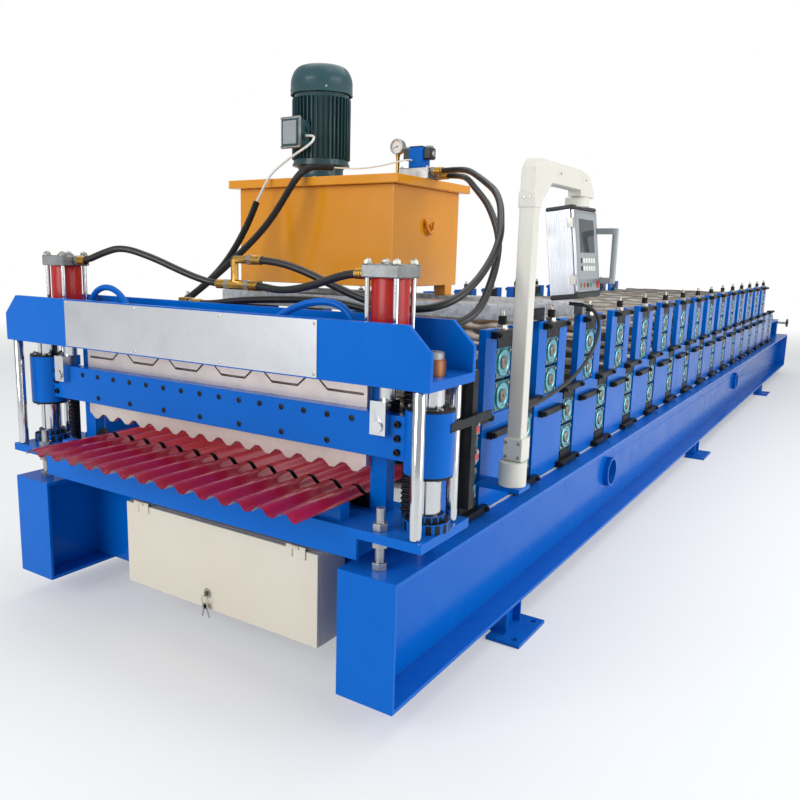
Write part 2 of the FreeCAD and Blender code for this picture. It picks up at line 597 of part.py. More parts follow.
def wall_plates(side):
    """Row of plates on a base beam: slotted ones for the upper layer, plain ones at both ends."""
    name = side_name(side) + "_wall_plates"
    x = side_span(side, "wall_outer - wall_thickness", "wall_outer")
    half, slot = "plate_width / 2", "slot_width / 2"
    slot_bottom = "(upper_pass - shaft_spacing / 2 - block_height / 2)"
    slotted = body_of(name + "_slotted", "YZ", [[
        (f"-{half}", BEAM_TOP), (half, BEAM_TOP), (half, "wall_top"), (slot, "wall_top"),
        (slot, slot_bottom), (f"-{slot}", slot_bottom), (f"-{slot}", "wall_top"), (f"-{half}", "wall_top")]],
        "wall_thickness", x=x[0], y="upper_start", count="upper_count", pitch="station_pitch")
    plain_y = "(upper_start + upper_count * station_pitch)"
    plain = box(name + "_plain", x, (f"{plain_y} - {half}", f"{plain_y} + {half}"),
                (BEAM_TOP, "low_wall_top"))
    first_y = f"(upper_start - station_pitch + {half})"
    first = box(name + "_first", x, (f"{first_y} - end_wall_width", first_y), (BEAM_TOP, "low_wall_top"))
    last = box(name + "_last", x, ("last_wall", "last_wall + end_wall_width"), (BEAM_TOP, "low_wall_top"))
    nodes.append(group(name, slotted, plain, first, last))


def bearing_blocks(side):
    """Blocks that carry the ends of the roll shafts, two above each other in a station."""
    name = side_name(side) + "_bearing_blocks"
    outer = "wall_outer - block_recess"
    x = side_span(side, f"{outer} - block_depth", outer)
    parts = []
    for layer in ("lower", "upper"):
        pair = []
        for sign in ("-", "+"):
            middle = f"({layer}_pass {sign} shaft_spacing / 2)"
            pair.append(rectangle(("-block_width / 2", "block_width / 2"),
                                  (f"{middle} - block_height / 2", f"{middle} + block_height / 2")))
        parts.append(body_of(f"{name}_{layer}", "YZ", pair, "block_depth", x=x[0], y=f"{layer}_start",
                             count=f"{layer}_count", pitch="station_pitch"))
    nodes.append(group(name, *parts))


def clamp_bars():
    """Bars bolted across each slot and gap, and the packing that holds the blocks between them."""
    parts = []
    packing_bar = "packing_height - clamp_height"
    for side in SIDES:
        bars_x = side_span(side, "wall_outer", "wall_outer + clamp_depth")
        packs_x = side_span(side, "wall_outer - wall_thickness", "wall_outer")
        for layer in ("lower", "upper"):
            top = f"({layer}_pass + shaft_spacing / 2 + block_height / 2)"
            low = f"({layer}_pass - shaft_spacing / 2 - block_height / 2)"
            across = ("-clamp_length / 2", "clamp_length / 2")
            bars = [rectangle(across, (f"{top} + {packing_bar}", f"{top} + packing_height")),
                    rectangle(across, (f"{low} - {layer}_clamp_drop",
                                       f"{low} - {layer}_clamp_drop + clamp_height"))]
            inside = ("-block_width / 2 + packing_inset", "block_width / 2 - packing_inset")
            packs = [rectangle(inside, (top, f"{top} + packing_height"))]
            if layer == "lower":
                packs.append(rectangle(inside, (BEAM_TOP, low)))
            repeat = {"y": f"{layer}_start", "count": f"{layer}_count", "pitch": "station_pitch"}
            name = f"{side_name(side)}_{layer}"
            parts.append(body_of(name + "_bars", "YZ", bars, "clamp_depth", x=bars_x[0], **repeat))
            parts.append(body_of(name + "_packing", "YZ", packs, "wall_thickness", x=packs_x[0], **repeat))
    nodes.append(group("clamp_bars", *parts, *adjusting_screws()))


def adjusting_screws():
    """Hexagon screws that stand on the packing of each upper station."""
    parts = []
    start = "(upper_pass + shaft_spacing / 2 + block_height / 2 + packing_height)"
    half, corner = "screw_size / 2", "(screw_size / 2 / cos(30))"
    for side in SIDES:
        hexagon = [(f"-{half}", f"-{corner} / 2"), ("0", f"-{corner}"), (half, f"-{corner} / 2"),
                   (half, f"{corner} / 2"), ("0", corner), (f"-{half}", f"{corner} / 2")]
        parts.append(body_of(side_name(side) + "_screws", "XY", [hexagon], "screw_stand",
                             x=f"{side} * (wall_outer - wall_thickness / 2)", y="upper_start", z=start,
                             count="upper_count", pitch="station_pitch"))
    return parts


def layer_rolls(layer):
    """The two rolls of each station of a layer, from block to block."""
    reach = "(wall_outer - block_recess - block_depth)"
    parts = []
    for index in range(int(size(layer + "_count"))):
        place = f"{layer}_start + {index} * station_pitch"
        for part, sign in (("bottom", "-"), ("top", "+")):
            parts.append(prism(f"{layer}_{part}_roll_{index + 1}", "x", (f"-{reach}", reach),
                               (place, f"{layer}_pass {sign} shaft_spacing / 2"), "roll_diameter",
                               ROLL_SIDES))
    nodes.append(group(layer + "_layer_rolls", *parts))


# Shear

def shear_table():
    """Table plate with a skirt, on levelling studs over the beams' webs."""
    x = ("-table_half_width", "table_half_width")
    top = box("table_plate_blank", x, ("table_front", "table_rear"), ("table_top - table_plate", "table_top"))
    skirts = [box("table_front_skirt", ("-skirt_half_width", "skirt_half_width"),
                  ("table_front", "table_front + skirt_plate"), ("skirt_bottom", "table_top - table_plate")),
              box("table_rear_skirt", ("-skirt_half_width", "skirt_half_width"),
                  ("table_rear - skirt_plate", "table_rear"), ("skirt_bottom", "table_top - table_plate"))]
    holes = [rod(f"stud_hole_{side_name(side)}_{place}", "z",
                 ("table_top - table_plate - 1", "table_top + 1"),
                 (f"{side} * {BEAM_CENTRE}", y), "stud_size + stud_gap")
             for side in SIDES for place, y in STUD_PLACES.items()]
    rest = box("panel_rest", ("-blade_half_width", "blade_half_width"),
               ("table_front + rest_inset", "table_front + rest_inset + rest_depth"),
               ("table_top", f"{PANEL_CREST} - wave_depth - panel_plate"))
    solid = fuse("table_blank", top, *skirts, rest, *column_flanges())
    bores = [rod(side_name(side) + "_flange_bore", "z", ("table_top", "table_top + column_hub_height"),
                 (f"{side} * column_x", "column_y"), "column_diameter") for side in SIDES]
    nodes.append(cut("shear_table", solid, *holes, *bores))


def column_flanges():
    """Flanges on the table that hold the feet of the guide columns."""
    parts = []
    for side in SIDES:
        name, centre = side_name(side), (f"{side} * column_x", "column_y")
        parts.append(prism(name + "_flange_disc", "z", ("table_top", "table_top + column_flange_height"),
                           centre, "column_flange", ROUND_SIDES))
        parts.append(prism(name + "_flange_hub", "z", ("table_top", "table_top + column_hub_height"),
                           centre, "column_hub", ROUND_SIDES))
    return parts


def levelling_studs():
    """Threaded studs with a nut on the beam, one under the table and one on it."""
    studs = []
    for side in SIDES:
        for place, y in STUD_PLACES.items():
            name = f"{side_name(side)}_{place}_stud"
            centre = (f"{side} * {BEAM_CENTRE}", y)
            under = "(table_top - table_plate)"
            parts = [prism(name, "z", (BEAM_TOP, "stud_top"), centre, "stud_size", ROUND_SIDES)]
            for level in (BEAM_TOP, f"{under} - nut_height", "table_top"):
                parts.append(prism(f"{name}_nut_{len(parts)}", "z", (level, f"{level} + nut_height"),
                                   centre, "nut_size"))
            studs.append(fuse(name + "_set", *parts))
    nodes.append(group("levelling_studs", *studs))


def guide_columns():
    """Ground columns and the corner rods that hold the crossbeam up."""
    columns, rods = [], []
    seat_top = "(cross_bottom + seat_plate)"
    for side in SIDES:
        name = side_name(side)
        centre = (f"{side} * column_x", "column_y")
        columns.append(rod(name + "_column", "z", ("table_top", f"{seat_top} + column_head"),
                           centre, "column_diameter"))
        for place in ("rod_front", "rod_rear"):
            rods.append(prism(f"{name}_{place}", "z", ("table_top", "cross_bottom"),
                              (f"{side} * rod_x", place), "rod_diameter", ROUND_SIDES))
    nodes.append(group("guide_columns", *columns))
    nodes.append(group("corner_rods", *rods))


def crossbeam():
    """Front and rear plates with chamfered upper corners, joined by a seat plate at each end."""
    points = [("-cross_half_width", "cross_bottom"), ("cross_half_width", "cross_bottom"),
              ("cross_half_width", "cross_top - cross_chamfer"),
              ("cross_half_width - cross_chamfer", "cross_top"),
              ("-cross_half_width + cross_chamfer", "cross_top"),
              ("-cross_half_width", "cross_top - cross_chamfer")]
    parts = [body_of("crossbeam_front", "XZ", [points], "cross_plate", y="cross_front"),
             body_of("crossbeam_rear", "XZ", [points], "cross_plate", y="cross_rear - cross_plate")]
    holes = []
    seat = ("cross_bottom", "cross_bottom + seat_plate")
    for side in SIDES:
        name = side_name(side)
        parts.append(box(name + "_seat", side_span(side, "seat_inner", "cross_half_width"),
                         ("cross_front + cross_plate", "cross_rear - cross_plate"), seat))
        holes.append(rod(name + "_column_hole", "z", seat, (f"{side} * column_x", "column_y"),
                         "column_diameter"))
        holes.append(rod(name + "_rod_hole", "z", seat, (f"{side} * cylinder_x", "cylinder_y"),
                         "piston_rod + 2 * running_gap"))
    nodes.append(cut("crossbeam", fuse("crossbeam_blank", *parts), *holes))


def cylinders():
    """Tie-rod cylinders: a barrel between two square heads, with four rods."""
    barrels, heads = [], []
    base = "(cross_bottom + seat_plate)"
    bore = "piston_rod + 2 * running_gap"
    for side in SIDES:
        name = side_name(side) + "_cylinder"
        centre = (f"{side} * cylinder_x", "cylinder_y")
        low, high = f"({base} + head_height)", "(cylinder_top - head_height)"
        barrels.append(cut(name + "_barrel", rod(name + "_tube", "z", (low, high), centre, "barrel_diameter"),
                           rod(name + "_tube_bore", "z", (low, f"{high} - barrel_end"), centre, bore)))
        half = "head_size / 2"
        x = (f"{centre[0]} - {half}", f"{centre[0]} + {half}")
        y = (f"cylinder_y - {half}", f"cylinder_y + {half}")
        parts = [cut(name + "_foot", box(name + "_foot_blank", x, y, (base, low)),
                     rod(name + "_foot_bore", "z", (base, low), centre, bore)),
                 box(name + "_cap", x, y, (high, "cylinder_top"))]
        for index, (across, along) in enumerate(((-1, -1), (1, -1), (1, 1), (-1, 1))):
            reach = "(head_size / 2 - tie_inset)"
            place = (f"{centre[0]} + {across} * {reach}", f"cylinder_y + {along} * {reach}")
            parts.append(prism(f"{name}_tie_{index}", "z", (low, "cylinder_top + tie_rod"), place, "tie_rod",
                               8))
        heads.append(fuse(name + "_heads", *parts))
    nodes.append(group("cylinder_barrels", *barrels))
    nodes.append(group("cylinder_heads", *heads))


def moving_beam():
    """Beam that carries both blades, with a guide sleeve at each end."""
    plate = box("beam_blank", ("-column_x", "column_x"), ("beam_front", BLADE_FRONT),
                ("moving_bottom", "moving_top"))
    span = ("sleeve_bottom", "sleeve_top")
    rounds, sleeves = [], []
    for side in SIDES:
        name = side_name(side) + "_sleeve"
        centre = (f"{side} * column_x", "column_y")
        rounds.append(rod(name + "_seat", "z", span, centre, "sleeve_diameter"))
        sleeves.append(cut(name, rod(name + "_outside", "z", span, centre, "sleeve_diameter"),
                           rod(name + "_bore", "z", span, centre, "column_diameter + 2 * running_gap")))
    trimmed = cut("moving_beam", plate, *rounds)
    nodes.append(trimmed)
    nodes.append(group("guide_sleeves", *sleeves))


def waves(label, top, thickness, depth, y, middle="0", count="wave_count"):
    """Corrugated strip of a thickness under a line of waves, made from one wave repeated."""
    flat, half = "wave_crest_flat / 2", "wave_pitch / 2"
    low = f"({top} - wave_depth)"
    upper = [(f"-{half}", low), (f"-{half} + {flat}", low), (f"-{flat}", top),
             (flat, top), (f"{half} - {flat}", low), (half, low)]
    under = [(across, f"{up} - ({thickness})") for across, up in reversed(upper)]
    return body_of(label, "XZ", [upper + under], depth, y=y, count=count, pitch="wave_pitch", along="X",
                   x=f"{middle} - (({count}) - 1) * wave_pitch / 2")


def ribs(label, flat, height, y):
    """Band along the upper layer's trapezoidal section, made from one rib repeated."""
    half, foot, top = "rib_pitch / 2", "rib_base / 2", "rib_top / 2"
    crest = f"({flat} + rib_height)"
    under = [(f"-{half}", flat), (f"-{foot}", flat), (f"-{top}", crest),
             (top, crest), (foot, flat), (half, flat)]
    upper = [(across, f"{up} + ({height})") for across, up in reversed(under)]
    return body_of(label, "XZ", [under + upper], "blade_plate + 2", y=f"{y} - 1", count="rib_count",
                   pitch="rib_pitch", along="X", x="-(rib_count - 1) * rib_pitch / 2")


def lower_shear():
    """Corrugated blade on the moving beam and its fixed die behind it."""
    across = ("-blade_half_width", "blade_half_width")
    deep = "4 * wave_depth"
    blank = box("lower_blade_blank", across, (BLADE_FRONT, f"{BLADE_FRONT} + blade_plate"),
                ("lower_blade_crest - wave_depth", "lower_blade_top"))
    notches = waves("lower_blade_notches", "lower_blade_crest", deep, "blade_plate + 2", f"{BLADE_FRONT} - 1",
                    count="wave_count + 2")
    nodes.append(cut("lower_blade", blank, notches))
    top = f"({PANEL_CREST} - panel_plate)"
    blank = box("lower_die_blank", across, (DIE_FRONT, DIE_REAR), ("table_top", top))
    notches = waves("lower_die_notches", f"({top} + {deep})", deep, "blade_plate + 2", f"{DIE_FRONT} - 1",
                    middle="panel_centre", count="wave_count + 2")
    nodes.append(cut("lower_die", blank, notches))


def upper_shear():
    """Blade with a trapezoidal slot on the moving beam, and the fixed die behind it."""
    across = ("-blade_half_width", "blade_half_width")
    for name, y, bottom, top in (("upper_blade", BLADE_FRONT, "upper_blade_bottom", "upper_blade_top"),
                                 ("upper_die", DIE_FRONT, "upper_die_bottom", "upper_die_top")):
        blank = box(name + "_blank", across, (y, f"{y} + blade_plate"), (bottom, top))
        ends = [box(f"{name}_slot_{side_name(side)}",
                    side_span(side, "rib_count * rib_pitch / 2 - 1", "blade_half_width - blade_end"),
                    (f"{y} - 1", f"{y} + blade_plate + 1"),
                    ("upper_slot_flat", "upper_slot_flat + upper_slot_gap")) for side in SIDES]
        nodes.append(cut(name, blank, ribs(name + "_slot", "upper_slot_flat", "upper_slot_gap", y), *ends))


def die_posts():
    """Upright bars at the dies' ends, from the table to the crossbeam, and the beam's racks."""
    posts, racks = [], []
    root = "(rack_front + rack_tooth_depth)"
    tooth = [(root, "0"), ("rack_front", "0.25 * rack_tooth"), ("rack_front", "0.55 * rack_tooth"),
             (root, "0.8 * rack_tooth")]
    for side in SIDES:
        name = side_name(side)
        posts.append(box(name + "_die_post", side_span(side, "blade_half_width", "post_outer"),
                         (DIE_FRONT, f"{DIE_FRONT} + post_depth"), ("table_top", "cross_bottom")))
        x = side_span(side, "rack_inner", "rack_inner + rack_width")
        bar = box(name + "_rack_bar", x, (root, "rack_front + rack_depth"), ("table_top", "cross_bottom"))
        teeth = body_of(name + "_rack_teeth", "YZ", [tooth], "rack_width", x=x[0],
                        z="cross_bottom - (rack_teeth + 1) * rack_tooth", count="rack_teeth",
                        pitch="rack_tooth", along="Z")
        racks.append(fuse(name + "_rack", bar, teeth))
    nodes.append(group("die_posts", *posts))
    nodes.append(group("guide_racks", *racks))


def panels():
    """The cut panel in front of the shear and the strip behind it."""
    rear = f"({BLADE_FRONT} - panel_lap)"
    nodes.append(group("profiled_panel",
                       waves("cut_panel", PANEL_CREST, "panel_plate", f"{rear} - panel_front", "panel_front",
                             middle="panel_centre"),
                       waves("strip", PANEL_CREST, "panel_plate", f"strip_rear - {DIE_FRONT}", DIE_FRONT,
                             middle="panel_centre")))


def rod_lugs():
    """Piston rods with the lugs and pins that hold them to the moving beam."""
    parts = []
    for side in SIDES:
        name = side_name(side) + "_lug"
        centre = (f"{side} * cylinder_x", "cylinder_y")
        x = (f"{centre[0]} - lug_width / 2", f"{centre[0]} + lug_width / 2")
        parts.append(fuse(
            name,
            box(name + "_cheek", x, ("lug_front", "beam_front"), ("lug_bottom", "lug_top")),
            box(name + "_head", x, ("beam_front", "cylinder_y + lug_width / 2"), ("moving_top", "lug_top")),
            prism(name + "_pin", "y", ("lug_front - pin_stand", "lug_front"), (centre[0], "pin_height"),
                  "pin_diameter", ROUND_SIDES),
            rod(name + "_rod", "z", ("lug_top", "cylinder_top - head_height - piston_depth"), centre,
                "piston_rod")))
    nodes.append(group("rod_lugs", *parts))


def switch_gear():
    """Rail with two limit switches behind the right column, and the flag that trips them."""
    rail_x = ("rail_inner", "rail_inner + rail_width")
    seat = ("cross_bottom", "cross_bottom + seat_plate")
    nodes.append(fuse("switch_rail",
                      box("rail_bar", rail_x, ("rail_front", "rail_front + rail_depth"),
                          ("rail_bottom", seat[1])),
                      box("rail_seat", rail_x, ("cross_rear", "rail_front"), seat)))
    rear = "(rail_front + rail_depth)"
    switches = [box(f"limit_switch_{index}", ("rail_inner", "rail_inner + switch_size"),
                    (rear, f"{rear} + switch_size"), (level, f"{level} + switch_size"))
                for index, level in enumerate(("flag_bottom - switch_size",
                                               "flag_bottom - switch_size - switch_drop"),
                                      start=1)]
    nodes.append(group("limit_switches", *switches))
    inner = "(column_x + sleeve_diameter / 2 - flag_seat)"
    blank = box("flag_blank", (inner, f"{inner} + flag_plate"), ("flag_front", "flag_rear"),
                ("flag_bottom", "flag_bottom + flag_height"))
    sleeve = rod("flag_sleeve", "z", ("sleeve_bottom", "sleeve_top"), ("column_x", "column_y"),
                 "sleeve_diameter")
    nodes.append(cut("switch_flag", blank, sleeve))


# Electric cabinet

def cabinet():
    """Shell open at the front, hung on the first cross member, and its door."""
    x, z = ("cabinet_left", "cabinet_right"), ("cabinet_bottom", "cabinet_top")
    front = "(door_front + door_depth + door_gap)"
    blank = box("cabinet_blank", x, (front, "cabinet_rear"), z)
    inside = box("cabinet_inside", ("cabinet_left + cabinet_wall", "cabinet_right - cabinet_wall"),
                 (f"{front} - 1", "cabinet_rear - cabinet_wall"),
                 ("cabinet_bottom + cabinet_wall", "cabinet_top - cabinet_wall"))
    hangers = [box(f"cabinet_hanger_{index}", (place, f"{place} + hanger_width"),
                   ("cabinet_rear", "member_first"),
                   ("cabinet_top - hanger_drop - hanger_height", "cabinet_top - hanger_drop"))
               for index, place in enumerate(("cabinet_left + hanger_inset",
                                              "cabinet_right - hanger_inset - hanger_width"), start=1)]
    leaf = "(cabinet_top + door_gap)"
    axis = ("door_front - hinge_stand", f"{leaf} + hinge_pin / 2")
    hinges, tabs = [], []
    for index, place in enumerate(("(cabinet_left + hinge_inset)",
                                   "(cabinet_right - hinge_inset - hinge_width)"), start=1):
        name = f"cabinet_hinge_{index}"
        third = f"{place} + hinge_width / 3", f"{place} + hinge_width * 2 / 3"
        hinges.append(box(name + "_leaf", (place, f"{place} + hinge_width"),
                          ("door_front + hinge_pin", f"{front} + hinge_seat"),
                          (leaf, f"{leaf} + hinge_plate")))
        hinges.append(box(name + "_seat", (place, f"{place} + hinge_width"), (front, f"{front} + hinge_seat"),
                          ("cabinet_top", leaf)))
        hinges.append(box(name + "_strap", third, (axis[0], "door_front + hinge_pin"),
                          (f"{leaf} + hinge_plate - hinge_stand", f"{leaf} + hinge_plate")))
        hinges.append(rod(name + "_pin", "x", third, axis, "hinge_pin"))
        for part, ends in (("left", (place, f"{third[0]} - door_gap")),
                           ("right", (f"{third[1]} + door_gap", f"{place} + hinge_width"))):
            tabs.append(box(f"{name}_{part}_tab", ends, ("door_front - hinge_plate", "door_front"),
                            ("cabinet_top - hinge_seat", f"{leaf} + hinge_pin")))
    nodes.append(fuse("cabinet_shell", cut("cabinet_box", blank, inside), *hangers, *hinges))
    nodes.append(fuse("cabinet_door", box("door_panel", x, ("door_front", "door_front + door_depth"), z),
                      *tabs))


# Hydraulic unit

def oil_tank():
    """Tank shell on two channels across the walls, with its lid."""
    x, y = ("tank_left", "tank_right"), ("tank_front", "tank_rear")
    blank = box("tank_blank", x, y, ("tank_bottom", "tank_top"))
    inside = box("tank_inside", ("tank_left + tank_wall", "tank_right - tank_wall"),
                 ("tank_front + tank_wall", "tank_rear - tank_wall"), ("tank_bottom + tank_wall", "tank_top"))
    legs = [box(f"tank_leg_{side}_{place}", (across, f"{across} + leg_width"),
                (along, f"{along} + leg_depth"),
                (CHANNEL_TOP, "tank_bottom"))
            for side, across in (("left", "tank_left"), ("right", "tank_right - leg_width"))
            for place, along in (("front", "(channel_front + leg_inset)"),
                                 ("rear", "(channel_rear + leg_inset)"))]
    nodes.append(fuse("oil_tank", cut("tank_shell", blank, inside), *legs))
    nodes.append(box("tank_lid", ("tank_left - lid_lap", "tank_right + lid_lap"),
                     ("tank_front - lid_lap", "tank_rear + lid_lap"), ("tank_top", "tank_top + lid_height")))
    channels = []
    for place in ("channel_front", "channel_rear"):
        low, high, web = "wall_top", CHANNEL_TOP, "channel_web"
        channels.append(body_of("tank_" + place, "YZ", [[
            ("0", low), (web, low), (web, f"{high} - {web}"), (f"channel_width - {web}", f"{high} - {web}"),
            (f"channel_width - {web}", low), ("channel_width", low), ("channel_width", high), ("0", high)]],
            "2 * wall_outer", x="-wall_outer", y=place))
    nodes.append(group("tank_channels", *channels))


def pump_motor():
    """Finned motor on a bell, with a fan cowl and a terminal box."""
    lid = "(tank_top + lid_height)"
    centre = ("motor_x", "motor_y")
    bell_top = f"({lid} + bell_height)"
    body_top = f"({bell_top} + motor_height)"
    bell = [prism("bell_foot", "z", (lid, f"{lid} + bell_flange"), centre, "bell_diameter", ROUND_SIDES),
            prism("bell_neck_ring", "z", (lid, bell_top), centre, "bell_neck", ROUND_SIDES)]
    core = rod("motor_core", "z", (bell_top, body_top), centre, "motor_diameter - 2 * fin_depth")
    fins = doc.addObject("PartDesign::Body", "motor_fins")
    sketch = fins.newObject("Sketcher::SketchObject", "motor_fin_outline")
    sketch.AttachmentSupport = [(origin_feature(fins, "XY_Plane"), "")]
    sketch.MapMode = "FlatFace"
    outline(sketch, rectangle(("motor_diameter / 2 - fin_depth - 4", "motor_diameter / 2"),
                              ("-fin_width / 2", "fin_width / 2")))
    pad = fins.newObject("PartDesign::Pad", "motor_fin")
    pad.Profile = sketch
    bind(pad, Length="motor_height")
    ring = fins.newObject("PartDesign::PolarPattern", "motor_fin_ring")
    ring.Originals = [pad]
    ring.Axis = (origin_feature(fins, "Z_Axis"), [""])
    bind(ring, Occurrences="fin_count")
    fins.Tip = ring
    put(fins, "motor_x", "motor_y", bell_top)
    nodes.append(fuse("motor_body", core, fins, *bell))
    cowl = doc.addObject("Part::Cone", "cowl_top")
    bind(cowl, Radius1="cowl_diameter / 2", Radius2="cowl_top / 2", Height="cowl_dome")
    put(cowl, "motor_x", "motor_y", f"{body_top} + cowl_ring")
    ring = rod("cowl_side", "z", (body_top, f"{body_top} + cowl_ring"), centre, "cowl_diameter")
    nodes.append(fuse("fan_cowl", ring, cowl))
    low = f"({bell_top} + box_rise)"
    span = (low, f"{low} + box_height")
    middle = "(motor_x - box_shift)"
    blank = box("terminal_box_blank", (f"{middle} - box_width / 2", f"{middle} + box_width / 2"),
                ("motor_y - motor_diameter / 2 - box_depth", "motor_y - motor_diameter / 2 + fin_depth"),
                span)
    seat = prism("terminal_box_seat", "z", span, centre, "motor_diameter + 2 * running_gap", 2 * ROUND_SIDES)
    nodes.append(cut("terminal_box", blank, seat))


def valve_set():
    """Manifold block on the lid's corner, with a directional valve and a gauge on it."""
    lid = "(tank_top + lid_height)"
    top = f"({lid} + manifold_height)"
    half = "manifold_length / 2"
    left = f"manifold_x - {half}"
    nodes.append(box("valve_manifold", (left, f"manifold_x + {half}"),
                     ("manifold_y - manifold_width / 2", "manifold_y + manifold_width / 2"), (lid, top)))
    body = box("valve_body", ("manifold_x - valve_width / 2", "manifold_x + valve_width / 2"),
               ("manifold_y - valve_depth / 2", "manifold_y + valve_depth / 2"),
               (top, f"{top} + valve_height"))
    coils = prism("valve_coils", "x", (left, f"manifold_x + {half}"),
                  ("manifold_y", f"{top} + valve_height - coil_drop"), "solenoid", ROUND_SIDES)
    nodes.append(fuse("directional_valve", body, coils))
    middle = f"({lid} + gauge_height)"
    stem = f"({lid} + manifold_height / 2)"
    nodes.append(fuse("pressure_gauge",
                      prism("gauge_dial", "y",
                            ("manifold_y - gauge_depth / 2", "manifold_y + gauge_depth / 2"),
                            ("gauge_x", middle), "gauge_diameter", 2 * ROUND_SIDES),
                      prism("gauge_stem", "z", (stem, middle), ("gauge_x", "manifold_y"), "gauge_pipe", 8),
                      prism("gauge_elbow", "x", ("gauge_x", left), ("manifold_y", stem), "gauge_pipe", 8)))


# Console arm

def console_arm():
    """Bracket and base on the right wall, the arm that swings on it and the console."""
    base_top = "(arm_base_bottom + arm_base_height)"
    bottom = "(arm_base_bottom - arm_bracket_plate)"
    half = "arm_base_diameter / 2"
    nodes.append(box("arm_bracket", ("wall_outer", f"arm_x + {half}"), (f"arm_y - {half}", f"arm_y + {half}"),
                     (bottom, "arm_base_bottom")))
    nodes.append(rod("arm_base", "z", ("arm_base_bottom", base_top), ("arm_x", "arm_y"), "arm_base_diameter"))
    middle, width, clamp = "(arm_y + arm_offset)", "arm_width / 2", "arm_clamp / 2"
    foot = f"({base_top} + running_gap)"
    boom_low = "(arm_top - boom_height)"
    column = body_of("arm_profile", "YZ", [[
        (f"{middle} - {width}", foot), (f"{middle} + {width}", foot),
        (f"{middle} + {width}", "arm_top - corner_size"), (f"{middle} - {width} + corner_size", boom_low),
        ("boom_end - corner_size", boom_low), ("boom_end - corner_size", f"{boom_low} - corner_drop"),
        ("boom_end", f"{boom_low} - corner_drop"), ("boom_end", "arm_top - corner_slope"),
        ("boom_end - corner_slope", "arm_top - corner_step"), ("boom_end - corner_size", "arm_top"),
        (f"{middle} - {width} + corner_round", "arm_top"),
        (f"{middle} - {width}", "arm_top - corner_round")]],
        "arm_width", x=f"arm_x - {width}")
    shoe = box("arm_shoe", (f"arm_x - {clamp}", f"arm_x + {clamp}"),
               (f"{middle} - {clamp}", f"{middle} + {clamp}"),
               (foot, f"{foot} + arm_clamp_height"))
    nodes.append(fuse("swing_arm", column, shoe))
    top = f"({boom_low} - corner_drop - running_gap)"
    low = f"({top} - coupling_height)"
    nodes.append(rod("console_coupling", "z", (low, top), ("arm_x - coupling_offset", "hang_y"),
                     "coupling_diameter"))
    lean = ("console_depth / 2 * cos(console_tilt)", "console_depth / 2 * sin(console_tilt)")
    fall = ("console_height * sin(console_tilt)", "console_height * cos(console_tilt)")
    crown = f"({low} - {lean[1]})"
    corners = [(f"-{lean[0]}", f"{crown} - {lean[1]}"),
               (f"-{lean[0]} + {fall[0]}", f"{crown} - {lean[1]} - {fall[1]}"),
               (f"{lean[0]} + {fall[0]}", f"{crown} + {lean[1]} - {fall[1]}"),
               (lean[0], f"{crown} + {lean[1]}")]
    nodes.append(body_of("console_box", "XZ", [corners], "console_width", x="console_x", y="console_y"))
    rear = "(console_y + console_width)"
    screen = f"(console_x + {lean[0]} + {fall[0]} / 2)"
    centre = f"({crown} - {fall[1]} / 2)"
    grip = (f"{screen} + handle_reach", f"{rear} + handle_shift")
    span = (f"{centre} - handle_height / 2", f"{centre} + handle_height / 2")
    bar = prism("handle_bar", "z", span, grip, "handle_diameter", ROUND_SIDES)
    arms = [box(f"handle_arm_{name}", (f"{screen} - handle_lap", f"{screen} + handle_reach"),
                (rear, f"{rear} + handle_depth"), (level, f"{level} + handle_arm"))
            for name, level in (("low", span[0]), ("high", f"{span[1]} - handle_arm"))]
    nodes.append(fuse("console_handle", bar, *arms))


# Entry guide

def entry_guide():
    """Flat guide table at the entry end with side rollers and an adjusting spindle."""
    top = "entry_height"
    y = ("entry_front", "entry_rear")
    table = box("entry_plate_top", ("-entry_half_width", "entry_half_width"), y,
                (f"{top} - entry_plate", top))
    legs = [box(f"entry_leg_{side_name(side)}_{place}",
                side_span(side, "entry_half_width - entry_leg", "entry_half_width"),
                (along, f"{along} + entry_leg"), (BEAM_TOP, f"{top} - entry_plate"))
            for side in SIDES for place, along in (("front", "(entry_front + entry_leg_inset)"),
                                                   ("rear", "(entry_rear - entry_leg_inset - entry_leg)"))]
    nodes.append(fuse("entry_table", table, *legs))
    rollers = [prism(f"guide_roller_{side_name(side)}_{index}", "z", (top, f"{top} + roller_height"),
                     (f"{side} * (entry_half_width - roller_inset)",
                      f"entry_front + roller_first + {index} * roller_pitch"), "guide_roller", ROUND_SIDES)
               for side in SIDES for index in range(3)]
    nodes.append(group("guide_rollers", *rollers))
    centre = ("entry_rear - spindle_inset", f"{top} - entry_plate - spindle_drop")
    face = "(base_half_width + wheel_lap)"
    spindle = prism("spindle_bar", "x", ("entry_half_width", f"{face} - wheel_depth"), centre, "spindle",
                    ROUND_SIDES)
    wheel = prism("spindle_wheel", "x", (f"{face} - wheel_depth", face), centre, "wheel_diameter", 8)
    nodes.append(fuse("entry_handwheel", spindle, wheel))


# Hoses and cables

